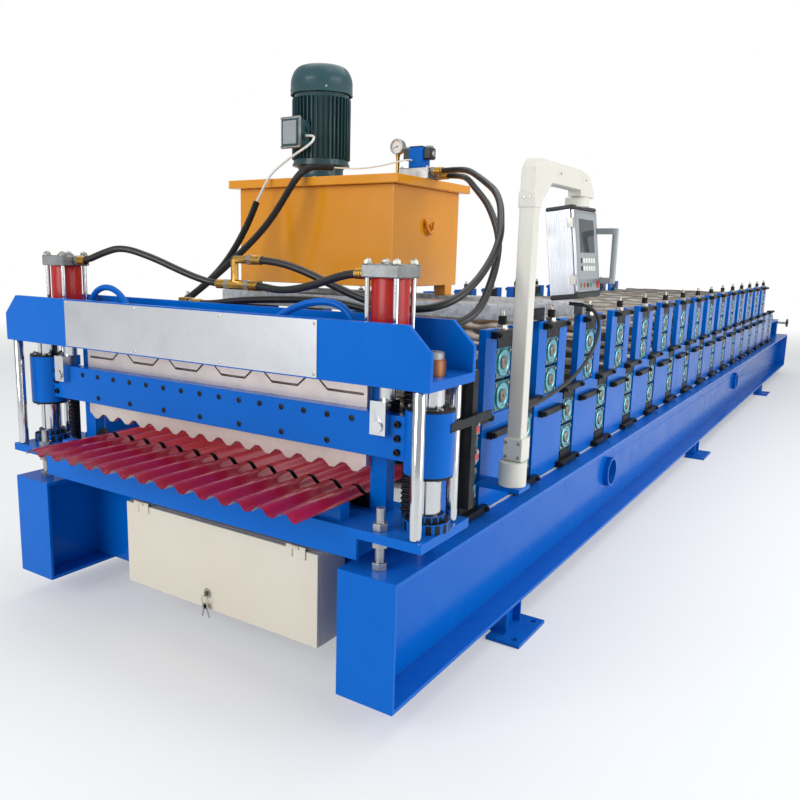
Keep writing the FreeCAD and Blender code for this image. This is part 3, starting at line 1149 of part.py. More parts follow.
LEFT_CAP_HOSE = [(-601, 149, 1184), (-545, 149, 1184), (-468, 153, 1210), (-385, 168, 1232),
                 (-274, 200, 1199), (-196, 224, 1166), (-125, 246, 1139), (-62, 260, 1124), (0, 260, 1124)]
RIGHT_CAP_HOSE = [(66, 260, 1124), (126, 260, 1124), (200, 248, 1114), (290, 228, 1121), (390, 198, 1141),
                  (475, 168, 1162), (543, 149, 1174), (601, 149, 1174)]
RETURN_HOSE = [(80, 260, 1200), (142, 260, 1200), (225, 262, 1190), (305, 264, 1167), (393, 267, 1134),
               (480, 276, 1102), (555, 290, 1084), (620, 300, 1078), (674, 326, 1083), (712, 372, 1100),
               (731, 432, 1131), (736, 510, 1176), (735, 590, 1237), (722, 650, 1289), (698, 700, 1332),
               (665, 765, 1385), (610, 840, 1433), (540, 910, 1468), (470, 985, 1499), (405, 1060, 1523),
               (349, 1117, 1535), (287, 1160, 1541), (230, 1178, 1542), (184, 1178, 1542)]
SUPPLY_HOSE = [(184, 1222, 1528), (238, 1222, 1528), (290, 1203, 1523), (334, 1163, 1514),
               (368, 1118, 1503), (410, 1060, 1487), (460, 990, 1462), (515, 925, 1432), (575, 862, 1393),
               (628, 798, 1345), (672, 738, 1300), (703, 682, 1262), (725, 628, 1228), (743, 575, 1187),
               (755, 520, 1143), (762, 470, 1100), (760, 424, 1068), (741, 377, 1045), (703, 337, 1034),
               (653, 312, 1035), (599, 304, 1046), (540, 300, 1060), (478, 298, 1073), (410, 297, 1083),
               (330, 298, 1088), (240, 299, 1087), (150, 298, 1083), (60, 296, 1078), (-25, 294, 1070),
               (-90, 291, 1060), (-150, 290, 1056), (-206, 290, 1056)]
MOTOR_LEAD = [(-333, 1060, 1690), (-307, 1060, 1690), (-283, 1050, 1682), (-273, 1031, 1665),
              (-280, 1012, 1646), (-302, 998, 1628), (-332, 987, 1609), (-361, 973, 1587),
              (-384, 954, 1562), (-400, 930, 1536), (-410, 908, 1503), (-420, 888, 1460),
              (-428, 868, 1420)]
MOTOR_CONDUIT = [(-428, 868, 1420), (-438, 846, 1362), (-453, 818, 1300), (-470, 782, 1232),
                 (-494, 740, 1165), (-530, 695, 1105), (-577, 640, 1045), (-620, 584, 998),
                 (-653, 530, 950), (-674, 473, 902), (-680, 440, 846), (-680, 440, 790)]
VALVE_LEAD = [(105, 1166, 1585), (105, 1140, 1585), (96, 1116, 1580), (70, 1098, 1572), (25, 1087, 1562),
              (-35, 1080, 1555), (-98, 1076, 1553), (-156, 1071, 1557), (-206, 1066, 1562)]
VALVE_CONDUIT = [(-206, 1066, 1562), (-220, 1024, 1563), (-228, 978, 1558), (-231, 934, 1546),
                 (-236, 892, 1518), (-250, 862, 1472), (-272, 838, 1416), (-303, 812, 1352),
                 (-345, 780, 1287), (-392, 744, 1227), (-441, 706, 1168), (-493, 665, 1109),
                 (-545, 618, 1051), (-586, 564, 1002), (-618, 514, 952), (-636, 472, 900),
                 (-642, 440, 846), (-642, 440, 790)]
CONSOLE_LEAD = [(797, 1072, 1072.5), (836, 1072, 1072.5), (873, 1069, 1063), (901, 1058, 1039),
                (915, 1037, 1006), (920, 1006, 968), (919, 966, 928), (911, 918, 886), (892, 866, 848),
                (866, 815, 815), (838, 762, 788), (812, 708, 768), (812, 663, 768)]
LEFT_FOOT_PIPE = [(-601, 149, 950), (-568, 149, 950), (-545, 149, 985), (-533, 148, 1036),
                  (-502, 146, 1084), (-446, 143, 1103), (-388, 138, 1095), (-338, 131, 1066),
                  (-300, 122, 1022), (-300, 122, 985)]
RIGHT_FOOT_PIPE = [(601, 149, 950), (577, 149, 950), (561, 149, 975), (556, 148, 1025), (536, 147, 1068),
                   (495, 145, 1095), (435, 141, 1098), (372, 135, 1083), (310, 128, 1052),
                   (268, 121, 1018), (268, 121, 985)]
CLAMP_X, CLAMP_Y, CLAMP_TOP = (-712, -618), (412, 464), 790


def tube(label, points, diameter):
    """Tube of straight runs and tangent arcs along points, whose Y counts from the front of the beams."""
    shift = FreeCAD.Vector(0, size("foot_first"), 0)
    places = [FreeCAD.Vector(*point) - shift for point in points]
    edges, radii, start = [], [], places[0]
    for before, corner, after in zip(places, places[1:], places[2:]):
        arrive, leave = (corner - before).normalize(), (after - corner).normalize()
        back = 0.45 * min((corner - before).Length, (after - corner).Length)
        radius = back / math.tan(arrive.getAngle(leave) / 2)
        inward = (leave - arrive).normalize()
        middle = corner + inward * (math.hypot(back, radius) - radius)
        edges.append(Part.LineSegment(start, corner - arrive * back).toShape())
        start = corner + leave * back
        edges.append(Part.Arc(corner - arrive * back, middle, start).toShape())
        radii.append(radius)
    edges.append(Part.LineSegment(start, places[-1]).toShape())
    path = Part.Wire(edges)
    along = (places[1] - places[0]).normalize()
    reference = FreeCAD.Vector(0, 0, 1) if abs(along.z) < 0.9 else FreeCAD.Vector(1, 0, 0)
    across = along.cross(reference).normalize()
    up = along.cross(across)
    corner_radius = diameter / 2 / math.cos(math.pi / HOSE_SIDES)
    ring = []
    for index in range(HOSE_SIDES):
        angle = (2 * index + 1) * math.pi / HOSE_SIDES
        outward = across * math.cos(angle) + up * math.sin(angle)
        ring.append(places[0] + outward * corner_radius)
    section = Part.makePolygon(ring + ring[:1])
    obj = doc.addObject("Part::Feature", label)
    obj.Shape = path.makePipeShell([section], True, False)
    share = obj.Shape.Volume / (Part.Face(section).Area * path.Length)
    print(f"{label}: {path.Length:.0f} long, least radius {min(radii):.0f}, "
          f"volume {share:.4f} of section by length")
    return obj


def hoses():
    """Hoses, cables with their conduits, the pipes to the cylinders' feet and the fittings they meet."""
    for label, points in (("left_cap_hose", LEFT_CAP_HOSE), ("right_cap_hose", RIGHT_CAP_HOSE),
                          ("return_hose", RETURN_HOSE), ("supply_hose", SUPPLY_HOSE)):
        nodes.append(tube(label, points, size("hose")))
    nodes.append(tube("console_lead", CONSOLE_LEAD, size("console_lead")))
    for name, lead, conduit in (("motor", MOTOR_LEAD, MOTOR_CONDUIT), ("valve", VALVE_LEAD, VALVE_CONDUIT)):
        nodes.append(fuse(name + "_conduit", tube(name + "_cable", lead, size(name + "_lead")),
                          tube(name + "_sleeve", conduit, size("conduit"))))
    nodes.append(group("foot_pipes", tube("left_foot_pipe", LEFT_FOOT_PIPE, size("pipe_small")),
                       tube("right_foot_pipe", RIGHT_FOOT_PIPE, size("pipe_small"))))
    tee_x, tee_y, tee_z = RIGHT_CAP_HOSE[0]
    leg_x, _, leg_z = RETURN_HOSE[0]
    stem = f"{tee_x} - tee_length * 2 / 3"
    tee = fuse("hose_tee",
               prism("tee_run", "x", (f"{tee_x} - tee_length", tee_x), (tee_y, tee_z), "tee_diameter",
                     HOSE_SIDES),
               prism("tee_leg", "z", (tee_z, leg_z), (stem, tee_y), "hose", HOSE_SIDES),
               prism("tee_elbow", "x", (stem, leg_x), (tee_y, leg_z), "hose", HOSE_SIDES))
    end_x, end_y, end_z = SUPPLY_HOSE[-1]
    union = box("hose_union", (f"{end_x} - union_size", end_x), ("cross_rear", f"{end_y} + union_size / 2"),
                (f"{end_z} - union_size / 2", f"{end_z} + union_size / 2"))
    clamp = box("conduit_clamp", CLAMP_X, CLAMP_Y, ("low_wall_top", CLAMP_TOP))
    ports = []
    for name, points in (("left", LEFT_FOOT_PIPE), ("right", RIGHT_FOOT_PIPE)):
        across, along, level = points[-1]
        ports.append(box(name + "_pipe_port", (f"{across} - union_size / 2", f"{across} + union_size / 2"),
                         ("cross_front + cross_plate", f"{along} + union_size / 2"),
                         (f"{level} - union_size", level)))
    nodes.append(group("hose_fittings", tee, union, clamp, *ports))


def check_and_write():
    """Stop on a failed feature or a bad shape, then write one file for each node."""
    for obj in doc.Objects:
        if any(word in str(state) for state in obj.State for word in ("Invalid", "Error")):
            sys.exit(f"{obj.Label} failed: {obj.State}")
    os.makedirs("parts", exist_ok=True)
    for obj in nodes:
        shape = obj.Shape
        if shape.isNull() or not shape.isValid() or not shape.Solids:
            sys.exit(f"{obj.Label} has no valid solid")
        shape.exportStep(f"parts/{obj.Label}.step")
        print(f"{obj.Label}: {len(shape.Solids)} solids, {shape.Volume / 1e6:.2f} litres")


for each_side in SIDES:
    base_beam(each_side)
cross_members()
support_feet()
for each_side in SIDES:
    wall_plates(each_side)
for each_side in SIDES:
    bearing_blocks(each_side)
clamp_bars()
layer_rolls("lower")
layer_rolls("upper")
shear_table()
levelling_studs()
guide_columns()
crossbeam()
cylinders()
moving_beam()
lower_shear()
upper_shear()
die_posts()
panels()
rod_lugs()
switch_gear()
cabinet()
oil_tank()
pump_motor()
valve_set()
console_arm()
entry_guide()
hoses()
doc.recompute()
check_and_write()
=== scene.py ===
import json
import logging
import math
from dataclasses import dataclass, field
from enum import Enum
from itertools import product
from typing import Any, Callable, Iterable, Sequence

import bmesh
import bpy
from mathutils import Matrix, Vector, noise

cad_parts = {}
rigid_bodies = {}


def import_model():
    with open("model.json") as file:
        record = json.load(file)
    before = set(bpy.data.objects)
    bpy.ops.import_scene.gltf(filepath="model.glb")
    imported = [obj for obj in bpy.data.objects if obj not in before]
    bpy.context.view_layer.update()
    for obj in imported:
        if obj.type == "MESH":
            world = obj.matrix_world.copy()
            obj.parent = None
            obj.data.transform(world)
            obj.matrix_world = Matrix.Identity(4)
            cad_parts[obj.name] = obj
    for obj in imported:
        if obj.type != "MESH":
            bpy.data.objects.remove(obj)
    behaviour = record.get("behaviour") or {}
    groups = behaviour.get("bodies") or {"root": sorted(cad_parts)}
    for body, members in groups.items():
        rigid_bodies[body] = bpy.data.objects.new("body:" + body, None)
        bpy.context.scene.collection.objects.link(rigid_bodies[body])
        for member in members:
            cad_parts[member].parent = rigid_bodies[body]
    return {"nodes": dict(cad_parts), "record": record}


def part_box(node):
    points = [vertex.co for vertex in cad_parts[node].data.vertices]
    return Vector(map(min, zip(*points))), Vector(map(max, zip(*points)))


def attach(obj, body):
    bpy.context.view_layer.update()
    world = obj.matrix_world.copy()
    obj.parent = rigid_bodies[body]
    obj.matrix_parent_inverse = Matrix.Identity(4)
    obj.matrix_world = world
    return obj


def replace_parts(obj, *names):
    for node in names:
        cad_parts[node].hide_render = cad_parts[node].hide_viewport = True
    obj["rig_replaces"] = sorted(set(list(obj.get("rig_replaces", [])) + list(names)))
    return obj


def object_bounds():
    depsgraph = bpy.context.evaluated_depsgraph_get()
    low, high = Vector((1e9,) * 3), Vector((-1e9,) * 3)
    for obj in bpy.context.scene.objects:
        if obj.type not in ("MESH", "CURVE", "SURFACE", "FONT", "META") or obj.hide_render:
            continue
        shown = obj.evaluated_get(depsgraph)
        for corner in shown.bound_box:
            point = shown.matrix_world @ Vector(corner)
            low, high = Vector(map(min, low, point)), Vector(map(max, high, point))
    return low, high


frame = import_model()
CAD_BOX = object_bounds()

# Every size below is in millimetres, and every Y counts from the front of the base beams, as on the drawing
MM = 0.001
BEAM_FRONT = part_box("left_base_beam")[0].y

# The material slot and the body of every node, as the record has them
SLOT_OF = {row["node"]: row["material_slot"] for row in frame["record"]["subparts"]}
BODY_OF = {node: body for body, members in frame["record"]["behaviour"]["bodies"].items() for node in members}

# How a node's form is cleaned: vertices closer than this join, and faces flatter than this become one
WELD_GAP_MM = 0.02
FLAT_DEGREES = 0.6
# Faces that turn by more than this keep a sharp edge, which is then rounded
EDGE_DEGREES = 34.0
# Rounding of the nodes that have no group of their own, in mm
REST_EDGE = 1.2

Point = tuple[float, float, float]
Profile = Sequence[tuple[float, float]]
log = logging.getLogger("roll_forming_machine")


def place(x: float, y: float, z: float) -> Vector:
    """Turn a point of the drawing into metres of the shared frame.

    Args:
        x: millimetres from the centre plane, to the operator's side.
        y: millimetres from the front of the base beams.
        z: millimetres from the floor.

    Returns:
        The same point in the frame.
    """
    return Vector((x * MM, y * MM + BEAM_FRONT, z * MM))


class Side(Enum):
    """The two long sides of the machine, by the sign of X."""

    LEFT = -1
    RIGHT = 1


class Axis(Enum):
    """The direction a turned or extruded form is built along."""

    X = 0
    Y = 1
    Z = 2


def circle(count: int, radius: float, start: float = 0.0) -> list[tuple[float, float]]:
    """Space points evenly round a circle.

    Args:
        count: how many.
        radius: the circle's radius.
        start: where the first one lies, in steps from the X axis.

    Returns:
        X and Y of every point, from the circle's middle.
    """
    angles = [math.tau * (index + start) / count for index in range(count)]
    return [(radius * math.cos(angle), radius * math.sin(angle)) for angle in angles]


# Colour and nodes


def hex_colour(code: str) -> tuple[float, float, float, float]:
    """Turn an sRGB hex code into the linear colour that the shader takes.

    Args:
        code: six hex digits with a leading hash.

    Returns:
        Linear red, green, blue and an alpha of 1.
    """
    parts = [int(code[i:i + 2], 16) / 255 for i in (1, 3, 5)]
    linear = [c / 12.92 if c <= 0.04045 else ((c + 0.055) / 1.055) ** 2.4 for c in parts]
    return (linear[0], linear[1], linear[2], 1.0)


def add_node(tree: bpy.types.NodeTree, kind: str, inputs: dict[Any, Any] | None = None,
             **settings: Any) -> bpy.types.Node:
    """Add one node with its settings, values and links.

    Args:
        tree: the material's or world's tree.
        kind: the node's type name.
        inputs: value or source socket for each input, by name or number.
        settings: the node's own properties.

    Returns:
        The new node.
    """
    made = tree.nodes.new(kind)
    for name, value in settings.items():
        setattr(made, name, value)
    for name, value in (inputs or {}).items():
        if isinstance(value, bpy.types.NodeSocket):
            tree.links.new(value, made.inputs[name])
        else:
            made.inputs[name].default_value = value
    return made


def new_tree(name: str) -> tuple[bpy.types.Material, bpy.types.NodeTree]:
    """Make an empty node material.

    Args:
        name: the material's name.

    Returns:
        The material and its node tree.
    """
    material = bpy.data.materials.new(name)
    material.use_nodes = True
    material.node_tree.nodes.clear()
    return material, material.node_tree


def grain(tree: bpy.types.NodeTree, size_mm: float, detail: float = 3.0,
          stretch: Sequence[float] = (1.0, 1.0, 1.0), rough: float = 0.5) -> bpy.types.NodeSocket:
    """Noise whose features have a real size on the object.

    Args:
        tree: the material's tree.
        size_mm: size of one feature.
        detail: octaves of finer noise.
        stretch: how many times longer a feature is along each axis.
        rough: share of the finer octaves.

    Returns:
        The noise's value, from 0 to 1.
    """
    coordinates = add_node(tree, "ShaderNodeTexCoord")
    per_metre = 1000.0 / size_mm
    scaled = add_node(tree, "ShaderNodeMapping", {
        "Vector": coordinates.outputs["Object"], "Scale": [per_metre / s for s in stretch]})
    noisy = add_node(tree, "ShaderNodeTexNoise", {
        "Vector": scaled.outputs["Vector"], "Scale": 1.0, "Detail": detail, "Roughness": rough})
    return noisy.outputs["Fac"]


def spread(tree: bpy.types.NodeTree, source: bpy.types.NodeSocket, low: float, high: float,
           start: float = 0.3, end: float = 0.7) -> bpy.types.NodeSocket:
    """Map a value from one range to another, held at its ends.

    Args:
        tree: the material's tree.
        source: the value.
        low: result at start.
        high: result at end.
        start: source value that gives low.
        end: source value that gives high.

    Returns:
        The mapped value.
    """
    return add_node(tree, "ShaderNodeMapRange", {
        "Value": source, "From Min": start, "From Max": end, "To Min": low, "To Max": high}).outputs["Result"]


def blend_colours(tree: bpy.types.NodeTree, share: bpy.types.NodeSocket, first: Any,
                  second: Any) -> bpy.types.NodeSocket:
    """Mix two colours, each a hex code or a socket.

    Args:
        tree: the material's tree.
        share: how much of the second colour.
        first: colour at 0.
        second: colour at 1.

    Returns:
        The mixed colour.
    """
    ends = [hex_colour(c) if isinstance(c, str) else c for c in (first, second)]
    return add_node(tree, "ShaderNodeMix", {0: share, 6: ends[0], 7: ends[1]}, data_type="RGBA").outputs[2]


def finish_surface(tree: bpy.types.NodeTree, shader_inputs: dict[str, Any], height: bpy.types.NodeSocket,
                   depth_mm: float) -> None:
    """Close a material with its shader and its relief.

    Args:
        tree: the material's tree.
        shader_inputs: values and links of the shader.
        height: relief, from 0 to 1.
        depth_mm: depth of the relief.
    """
    bump = add_node(tree, "ShaderNodeBump", {"Height": height, "Distance": depth_mm * MM, "Strength": 1.0})
    shader = add_node(tree, "ShaderNodeBsdfPrincipled", {**shader_inputs, "Normal": bump.outputs["Normal"]})
    output = add_node(tree, "ShaderNodeOutputMaterial")
    tree.links.new(shader.outputs["BSDF"], output.inputs["Surface"])


@dataclass(frozen=True)
class Enamel:
    """Alkyd enamel sprayed on steel: a gloss film with orange peel, faint fading and settled dust."""

    name: str
    colour: str
    faded: str
    gloss: float = 0.24
    peel_mm: float = 3.0
    patch_mm: float = 240.0
    dust: float = 0.10
    dust_colour: str = "#b9bcbd"
    sheen: float = 0.3

    def material(self) -> bpy.types.Material:
        """Build the paint: dust lies on what faces up, and thin patches are a little paler and duller."""
        material, tree = new_tree(self.name)
        patches = grain(tree, self.patch_mm, 4.0, rough=0.6)
        colour = blend_colours(tree, spread(tree, patches, 0.0, 0.55), self.colour, self.faded)
        normal = add_node(tree, "ShaderNodeNewGeometry").outputs["Normal"]
        up = add_node(tree, "ShaderNodeSeparateXYZ", {"Vector": normal}).outputs["Z"]
        lying = add_node(tree, "ShaderNodeMath", {0: spread(tree, up, 0.0, self.dust, 0.6, 1.0),
                                                  1: spread(tree, grain(tree, 34.0, 5.0), 0.3, 1.0)},
                         operation="MULTIPLY").outputs[0]
        colour = blend_colours(tree, lying, colour, self.dust_colour)
        dull = spread(tree, grain(tree, 90.0, 5.0), self.gloss * 0.8, self.gloss * 1.45)
        finish_surface(tree, {"Base Color": colour, "Roughness": dull, "IOR": 1.46,
                              "Specular IOR Level": self.sheen, "Coat Weight": self.sheen * 0.6,
                              "Coat Roughness": 0.08}, grain(tree, self.peel_mm, 1.0), 0.05)
        return material


@dataclass(frozen=True)
class BareSteel:
    """Uncoated metal as it was cut: lay of the tool, stains of oil and a bright or dull sheen."""

    name: str
    colour: str
    stained: str
    roughness: float = 0.32
    lay_mm: float = 1.6
    stretch: tuple[float, float, float] = (1.0, 1.0, 1.0)
    stain_mm: float = 60.0
    relief_mm: float = 0.03
    metallic: float = 1.0
    stain: float = 0.8

    def material(self) -> bpy.types.Material:
        """Build the metal: the lay streaks its sheen, and stains darken it in patches."""
        material, tree = new_tree(self.name)
        stains = grain(tree, self.stain_mm, 5.0, rough=0.6)
        lay = grain(tree, self.lay_mm, 2.0, self.stretch)
        share = spread(tree, stains, 0.0, self.stain, 0.4, 0.72)
        colour = blend_colours(tree, share, self.colour, self.stained)
        dull = add_node(tree, "ShaderNodeMath", {
            0: spread(tree, lay, self.roughness * 0.75, self.roughness * 1.2),
            1: spread(tree, stains, 0.0, self.stain * 0.16)}, operation="ADD").outputs[0]
        finish_surface(tree, {"Base Color": colour, "Metallic": self.metallic, "Roughness": dull}, lay,
                       self.relief_mm)
        return material


@dataclass(frozen=True)
class Galvanised:
    """Hot-dip zinc on rolled channel: spangle cells that each shine a little differently."""

    name: str
    colour: str
    dark: str
    spangle_mm: float = 14.0

    def material(self) -> bpy.types.Material:
        """Build the zinc: each crystal has its own brightness and sheen."""
        material, tree = new_tree(self.name)
        coordinates = add_node(tree, "ShaderNodeTexCoord")
        cells = add_node(tree, "ShaderNodeTexVoronoi", {
            "Vector": coordinates.outputs["Object"], "Scale": 1000.0 / self.spangle_mm})
        shade = add_node(tree, "ShaderNodeSeparateColor", {"Color": cells.outputs["Color"]}).outputs[0]
        colour = blend_colours(tree, shade, self.colour, self.dark)
        finish_surface(tree, {"Base Color": colour, "Metallic": 0.9,
                              "Roughness": spread(tree, shade, 0.34, 0.5, 0.0, 1.0)}, shade, 0.02)
        return material


@dataclass(frozen=True)
class Moulded:
    """Moulded or extruded polymer and rubber: dielectric, even colour, fine mould grain."""

    name: str
    colour: str
    worn: str
    roughness: float = 0.45
    grain_mm: float = 1.2
    relief_mm: float = 0.04

    def material(self) -> bpy.types.Material:
        """Build the polymer: grain breaks the highlight, and handling greys it a little."""
        material, tree = new_tree(self.name)
        handled = grain(tree, 46.0, 5.0)
        colour = blend_colours(tree, spread(tree, handled, 0.0, 0.6), self.colour, self.worn)
        dull = spread(tree, handled, self.roughness * 0.85, self.roughness * 1.2)
        finish_surface(tree, {"Base Color": colour, "Roughness": dull, "IOR": 1.5},
                       grain(tree, self.grain_mm, 2.0), self.relief_mm)
        return material


@dataclass(frozen=True)
class Clear:
    """Clear glass or polycarbonate in front of a dial or screen: a sharp reflection over what is behind."""

    name: str
    colour: str
    roughness: float = 0.06

    def material(self) -> bpy.types.Material:
        """Build the pane: dark, smooth and faintly smeared."""
        material, tree = new_tree(self.name)
        smear = grain(tree, 30.0, 3.0)
        dull = spread(tree, smear, self.roughness, self.roughness * 2.5)
        finish_surface(tree, {"Base Color": hex_colour(self.colour), "IOR": 1.49, "Coat Weight": 0.5,
                              "Roughness": dull}, smear, 0.01)
        return material


FINISHES: dict[str, Any] = {
    # Alkyd gloss sprayed over hot-rolled steel: plates show soft reflections and orange peel
    "machine_blue": Enamel("alkyd_enamel_sprayed_blue", "#005fbe", "#0067c6", gloss=0.2, dust=0.02,
                           sheen=0.1),
    # A thick gloss coat flowed over the tank: deep reflections that bend over its sags
    "tank_orange": Enamel("gloss_enamel_sprayed_orange", "#e8981c", "#e08f16", gloss=0.18, peel_mm=9.0,
                          sheen=0.5),
    # Gloss enamel on honed tube: a clear bright line down each barrel
    "cylinder_red": Enamel("gloss_enamel_sprayed_red", "#b01c1c", "#a01616", gloss=0.3),
    # Stove enamel over cast and pressed parts: dark teal with a fine even peel
    "motor_green": Enamel("stove_enamel_sprayed_green", "#2a4a50", "#34565c", gloss=0.3, peel_mm=2.0),
    # Powder coat bakes to a fine even texture, duller than liquid paint
    "cabinet_beige": Enamel("powder_coat_baked_beige", "#d8d1c2", "#d2cab9", gloss=0.42, peel_mm=1.4,
                            dust=0.05),
    # The same powder in light grey, on extrusion and castings
    "arm_beige": Enamel("powder_coat_baked_light_grey", "#dcdad0", "#d4d2c6", gloss=0.4, peel_mm=1.4,
                        dust=0.05),
    # Polyester rolled on the coil: a flat, even film with long clear reflections along the waves
    "sheet_red": Enamel("polyester_coil_coat_rolled_red", "#9c0a30", "#a6123a", gloss=0.2, peel_mm=4.0,
                        dust=0.02, sheen=0.4),
    # The coil's thin back coat: dull and greyish where it shows under an edge
    "sheet_back": Enamel("epoxy_back_coat_rolled_grey", "#8c6f78", "#94767f", gloss=0.4),
    # Oxide on tool steel: nearly black and dry, with a faint bloom
    "black_steel": BareSteel("tool_steel_blackened", "#26282b", "#17181a", 0.42, 1.2, metallic=0.75),
    # Ground hard chrome: a sharp mirror, drawn out a little along the rod
    "chromed": BareSteel("hard_chrome_ground", "#cdd0d3", "#b9bdc0", 0.13, 0.6, (1, 1, 0.2), stain_mm=160.0,
                         relief_mm=0.002, stain=0.25),
    # Turned rolls under old oil: fine rings, brown where the oil has dried
    "roll_steel": BareSteel("bearing_steel_turned", "#8c8780", "#6d5f52", 0.3, 0.9, (0.2, 1, 1),
                            stain_mm=90.0, relief_mm=0.02),
    # Surface-ground blades: a long soft sheen across the machine, with a warm grey cast
    "blade_steel": BareSteel("tool_steel_ground", "#d6cbc5", "#b9ada7", 0.4, 1.0, (9, 1, 1), stain_mm=90.0,
                             relief_mm=0.01, metallic=0.7, stain=0.5),
    # Milled steel under preserving oil, which turns its shine blue-green
    "cartridge": BareSteel("milled_steel_oiled", "#3f8796", "#1f4b58", 0.26, 2.2, (1, 3, 1), stain_mm=24.0,
                           relief_mm=0.05, metallic=0.9),
    # Turned covers under the same oil, with round tool marks; their paler cyan colour is a painted reflection
    # over the oiled steel's own teal
    "cover_ring": BareSteel("turned_steel_oiled", "#7fc3cd", "#3c8796", 0.2, 1.0, stain_mm=18.0,
                            relief_mm=0.03, metallic=0.95),
    # Machined mild steel: mid grey with a satin sheen
    "plain_steel": BareSteel("mild_steel_machined", "#a9abad", "#7f7f7e", 0.34, 1.0),
    # Zinc plate on fasteners: pale, warm and slightly mottled
    "zinc_bolt": BareSteel("zinc_plated_steel_turned", "#b9b7ae", "#94928a", 0.3, 0.8),
    # Turned brass fittings: yellow, browned by handling
    "brass": BareSteel("brass_turned", "#c49a4c", "#94713a", 0.28, 0.8),
    # Bronze collars: brown-red, duller than brass
    "bronze": BareSteel("bronze_turned", "#8f6248", "#6d4a38", 0.34, 0.8),
    # Brushed aluminium: fine streaks that stretch every highlight across them
    "aluminium": BareSteel("aluminium_brushed", "#c9ccd1", "#b4b8be", 0.3, 0.7, (14, 1, 1), stain_mm=120.0,
                           relief_mm=0.01, stain=0.6),
    # Sand-cast aluminium: matt, with the mould's grain
    "cast_grey": BareSteel("aluminium_sand_cast", "#9a9c9c", "#7d7f80", 0.5, 2.4, stain_mm=50.0,
                           relief_mm=0.2),
    # Hot-dip zinc on rolled channel: spangle
    "galvanised": Galvanised("zinc_hot_dipped", "#bfc2c5", "#9da1a5"),
    # Extruded hose cover: black with a soft rubber shine
    "hose_rubber": Moulded("nitrile_rubber_extruded", "#131314", "#1d1d1e", 0.36, 1.0, 0.05),
    # Corrugated conduit: black and matt, so only its ribs catch light
    "conduit": Moulded("polyamide_corrugated_black", "#151516", "#202021", 0.5),
    # Moulded covers and plugs: black with a fine mould texture
    "black_plastic": Moulded("abs_moulded_black", "#1a1a1b", "#262627", 0.42),
    # Moulded covers in grey
    "grey_plastic": Moulded("abs_moulded_grey", "#9ba1a4", "#8e9497", 0.4),
    # Extruded cable sheath: off-white, smooth and a little greyed
    "white_cable": Moulded("pvc_extruded_white", "#dadad6", "#cfcfc9", 0.4),
    # Glossy moulded button in red
    "red_plastic": Moulded("abs_moulded_red", "#c01a18", "#a81614", 0.3),
    # Glossy moulded button in green
    "green_plastic": Moulded("abs_moulded_green", "#1c8c46", "#177a3c", 0.3),
    # Printed dial: flat white without relief
    "dial_white": Moulded("printed_dial_white", "#e6e6e1", "#dcdcd6", 0.3, 2.0, 0.0),
    # Dark pane of the screen: a sharp reflection over near black
    "screen": Clear("polycarbonate_screen_dark", "#2a3236"),
    # Weld bead under a thin primer: pale, rough and rippled
    "weld": BareSteel("weld_bead_primed", "#c4c8cc", "#9fa5aa", 0.55, 4.0, stain_mm=22.0, relief_mm=0.4,
                      metallic=0.3),
}
MADE: dict[str, bpy.types.Material] = {}


def finish_of(key: str) -> bpy.types.Material:
    """Build a finish once, and give it again after that.

    Args:
        key: the finish's name in FINISHES.

    Returns:
        Its material.
    """
    if key not in MADE:
        MADE[key] = FINISHES[key].material()
    return MADE[key]


# Meshes


def smooth_by_angle(mesh: bpy.types.Mesh, degrees: float) -> None:
    """Shade a mesh smooth, with sharp edges where its faces turn by more than an angle.

    Args:
        mesh: the mesh.
        degrees: the angle.
    """
    mesh.shade_smooth()
    mesh.set_sharp_from_angle(angle=math.radians(degrees))


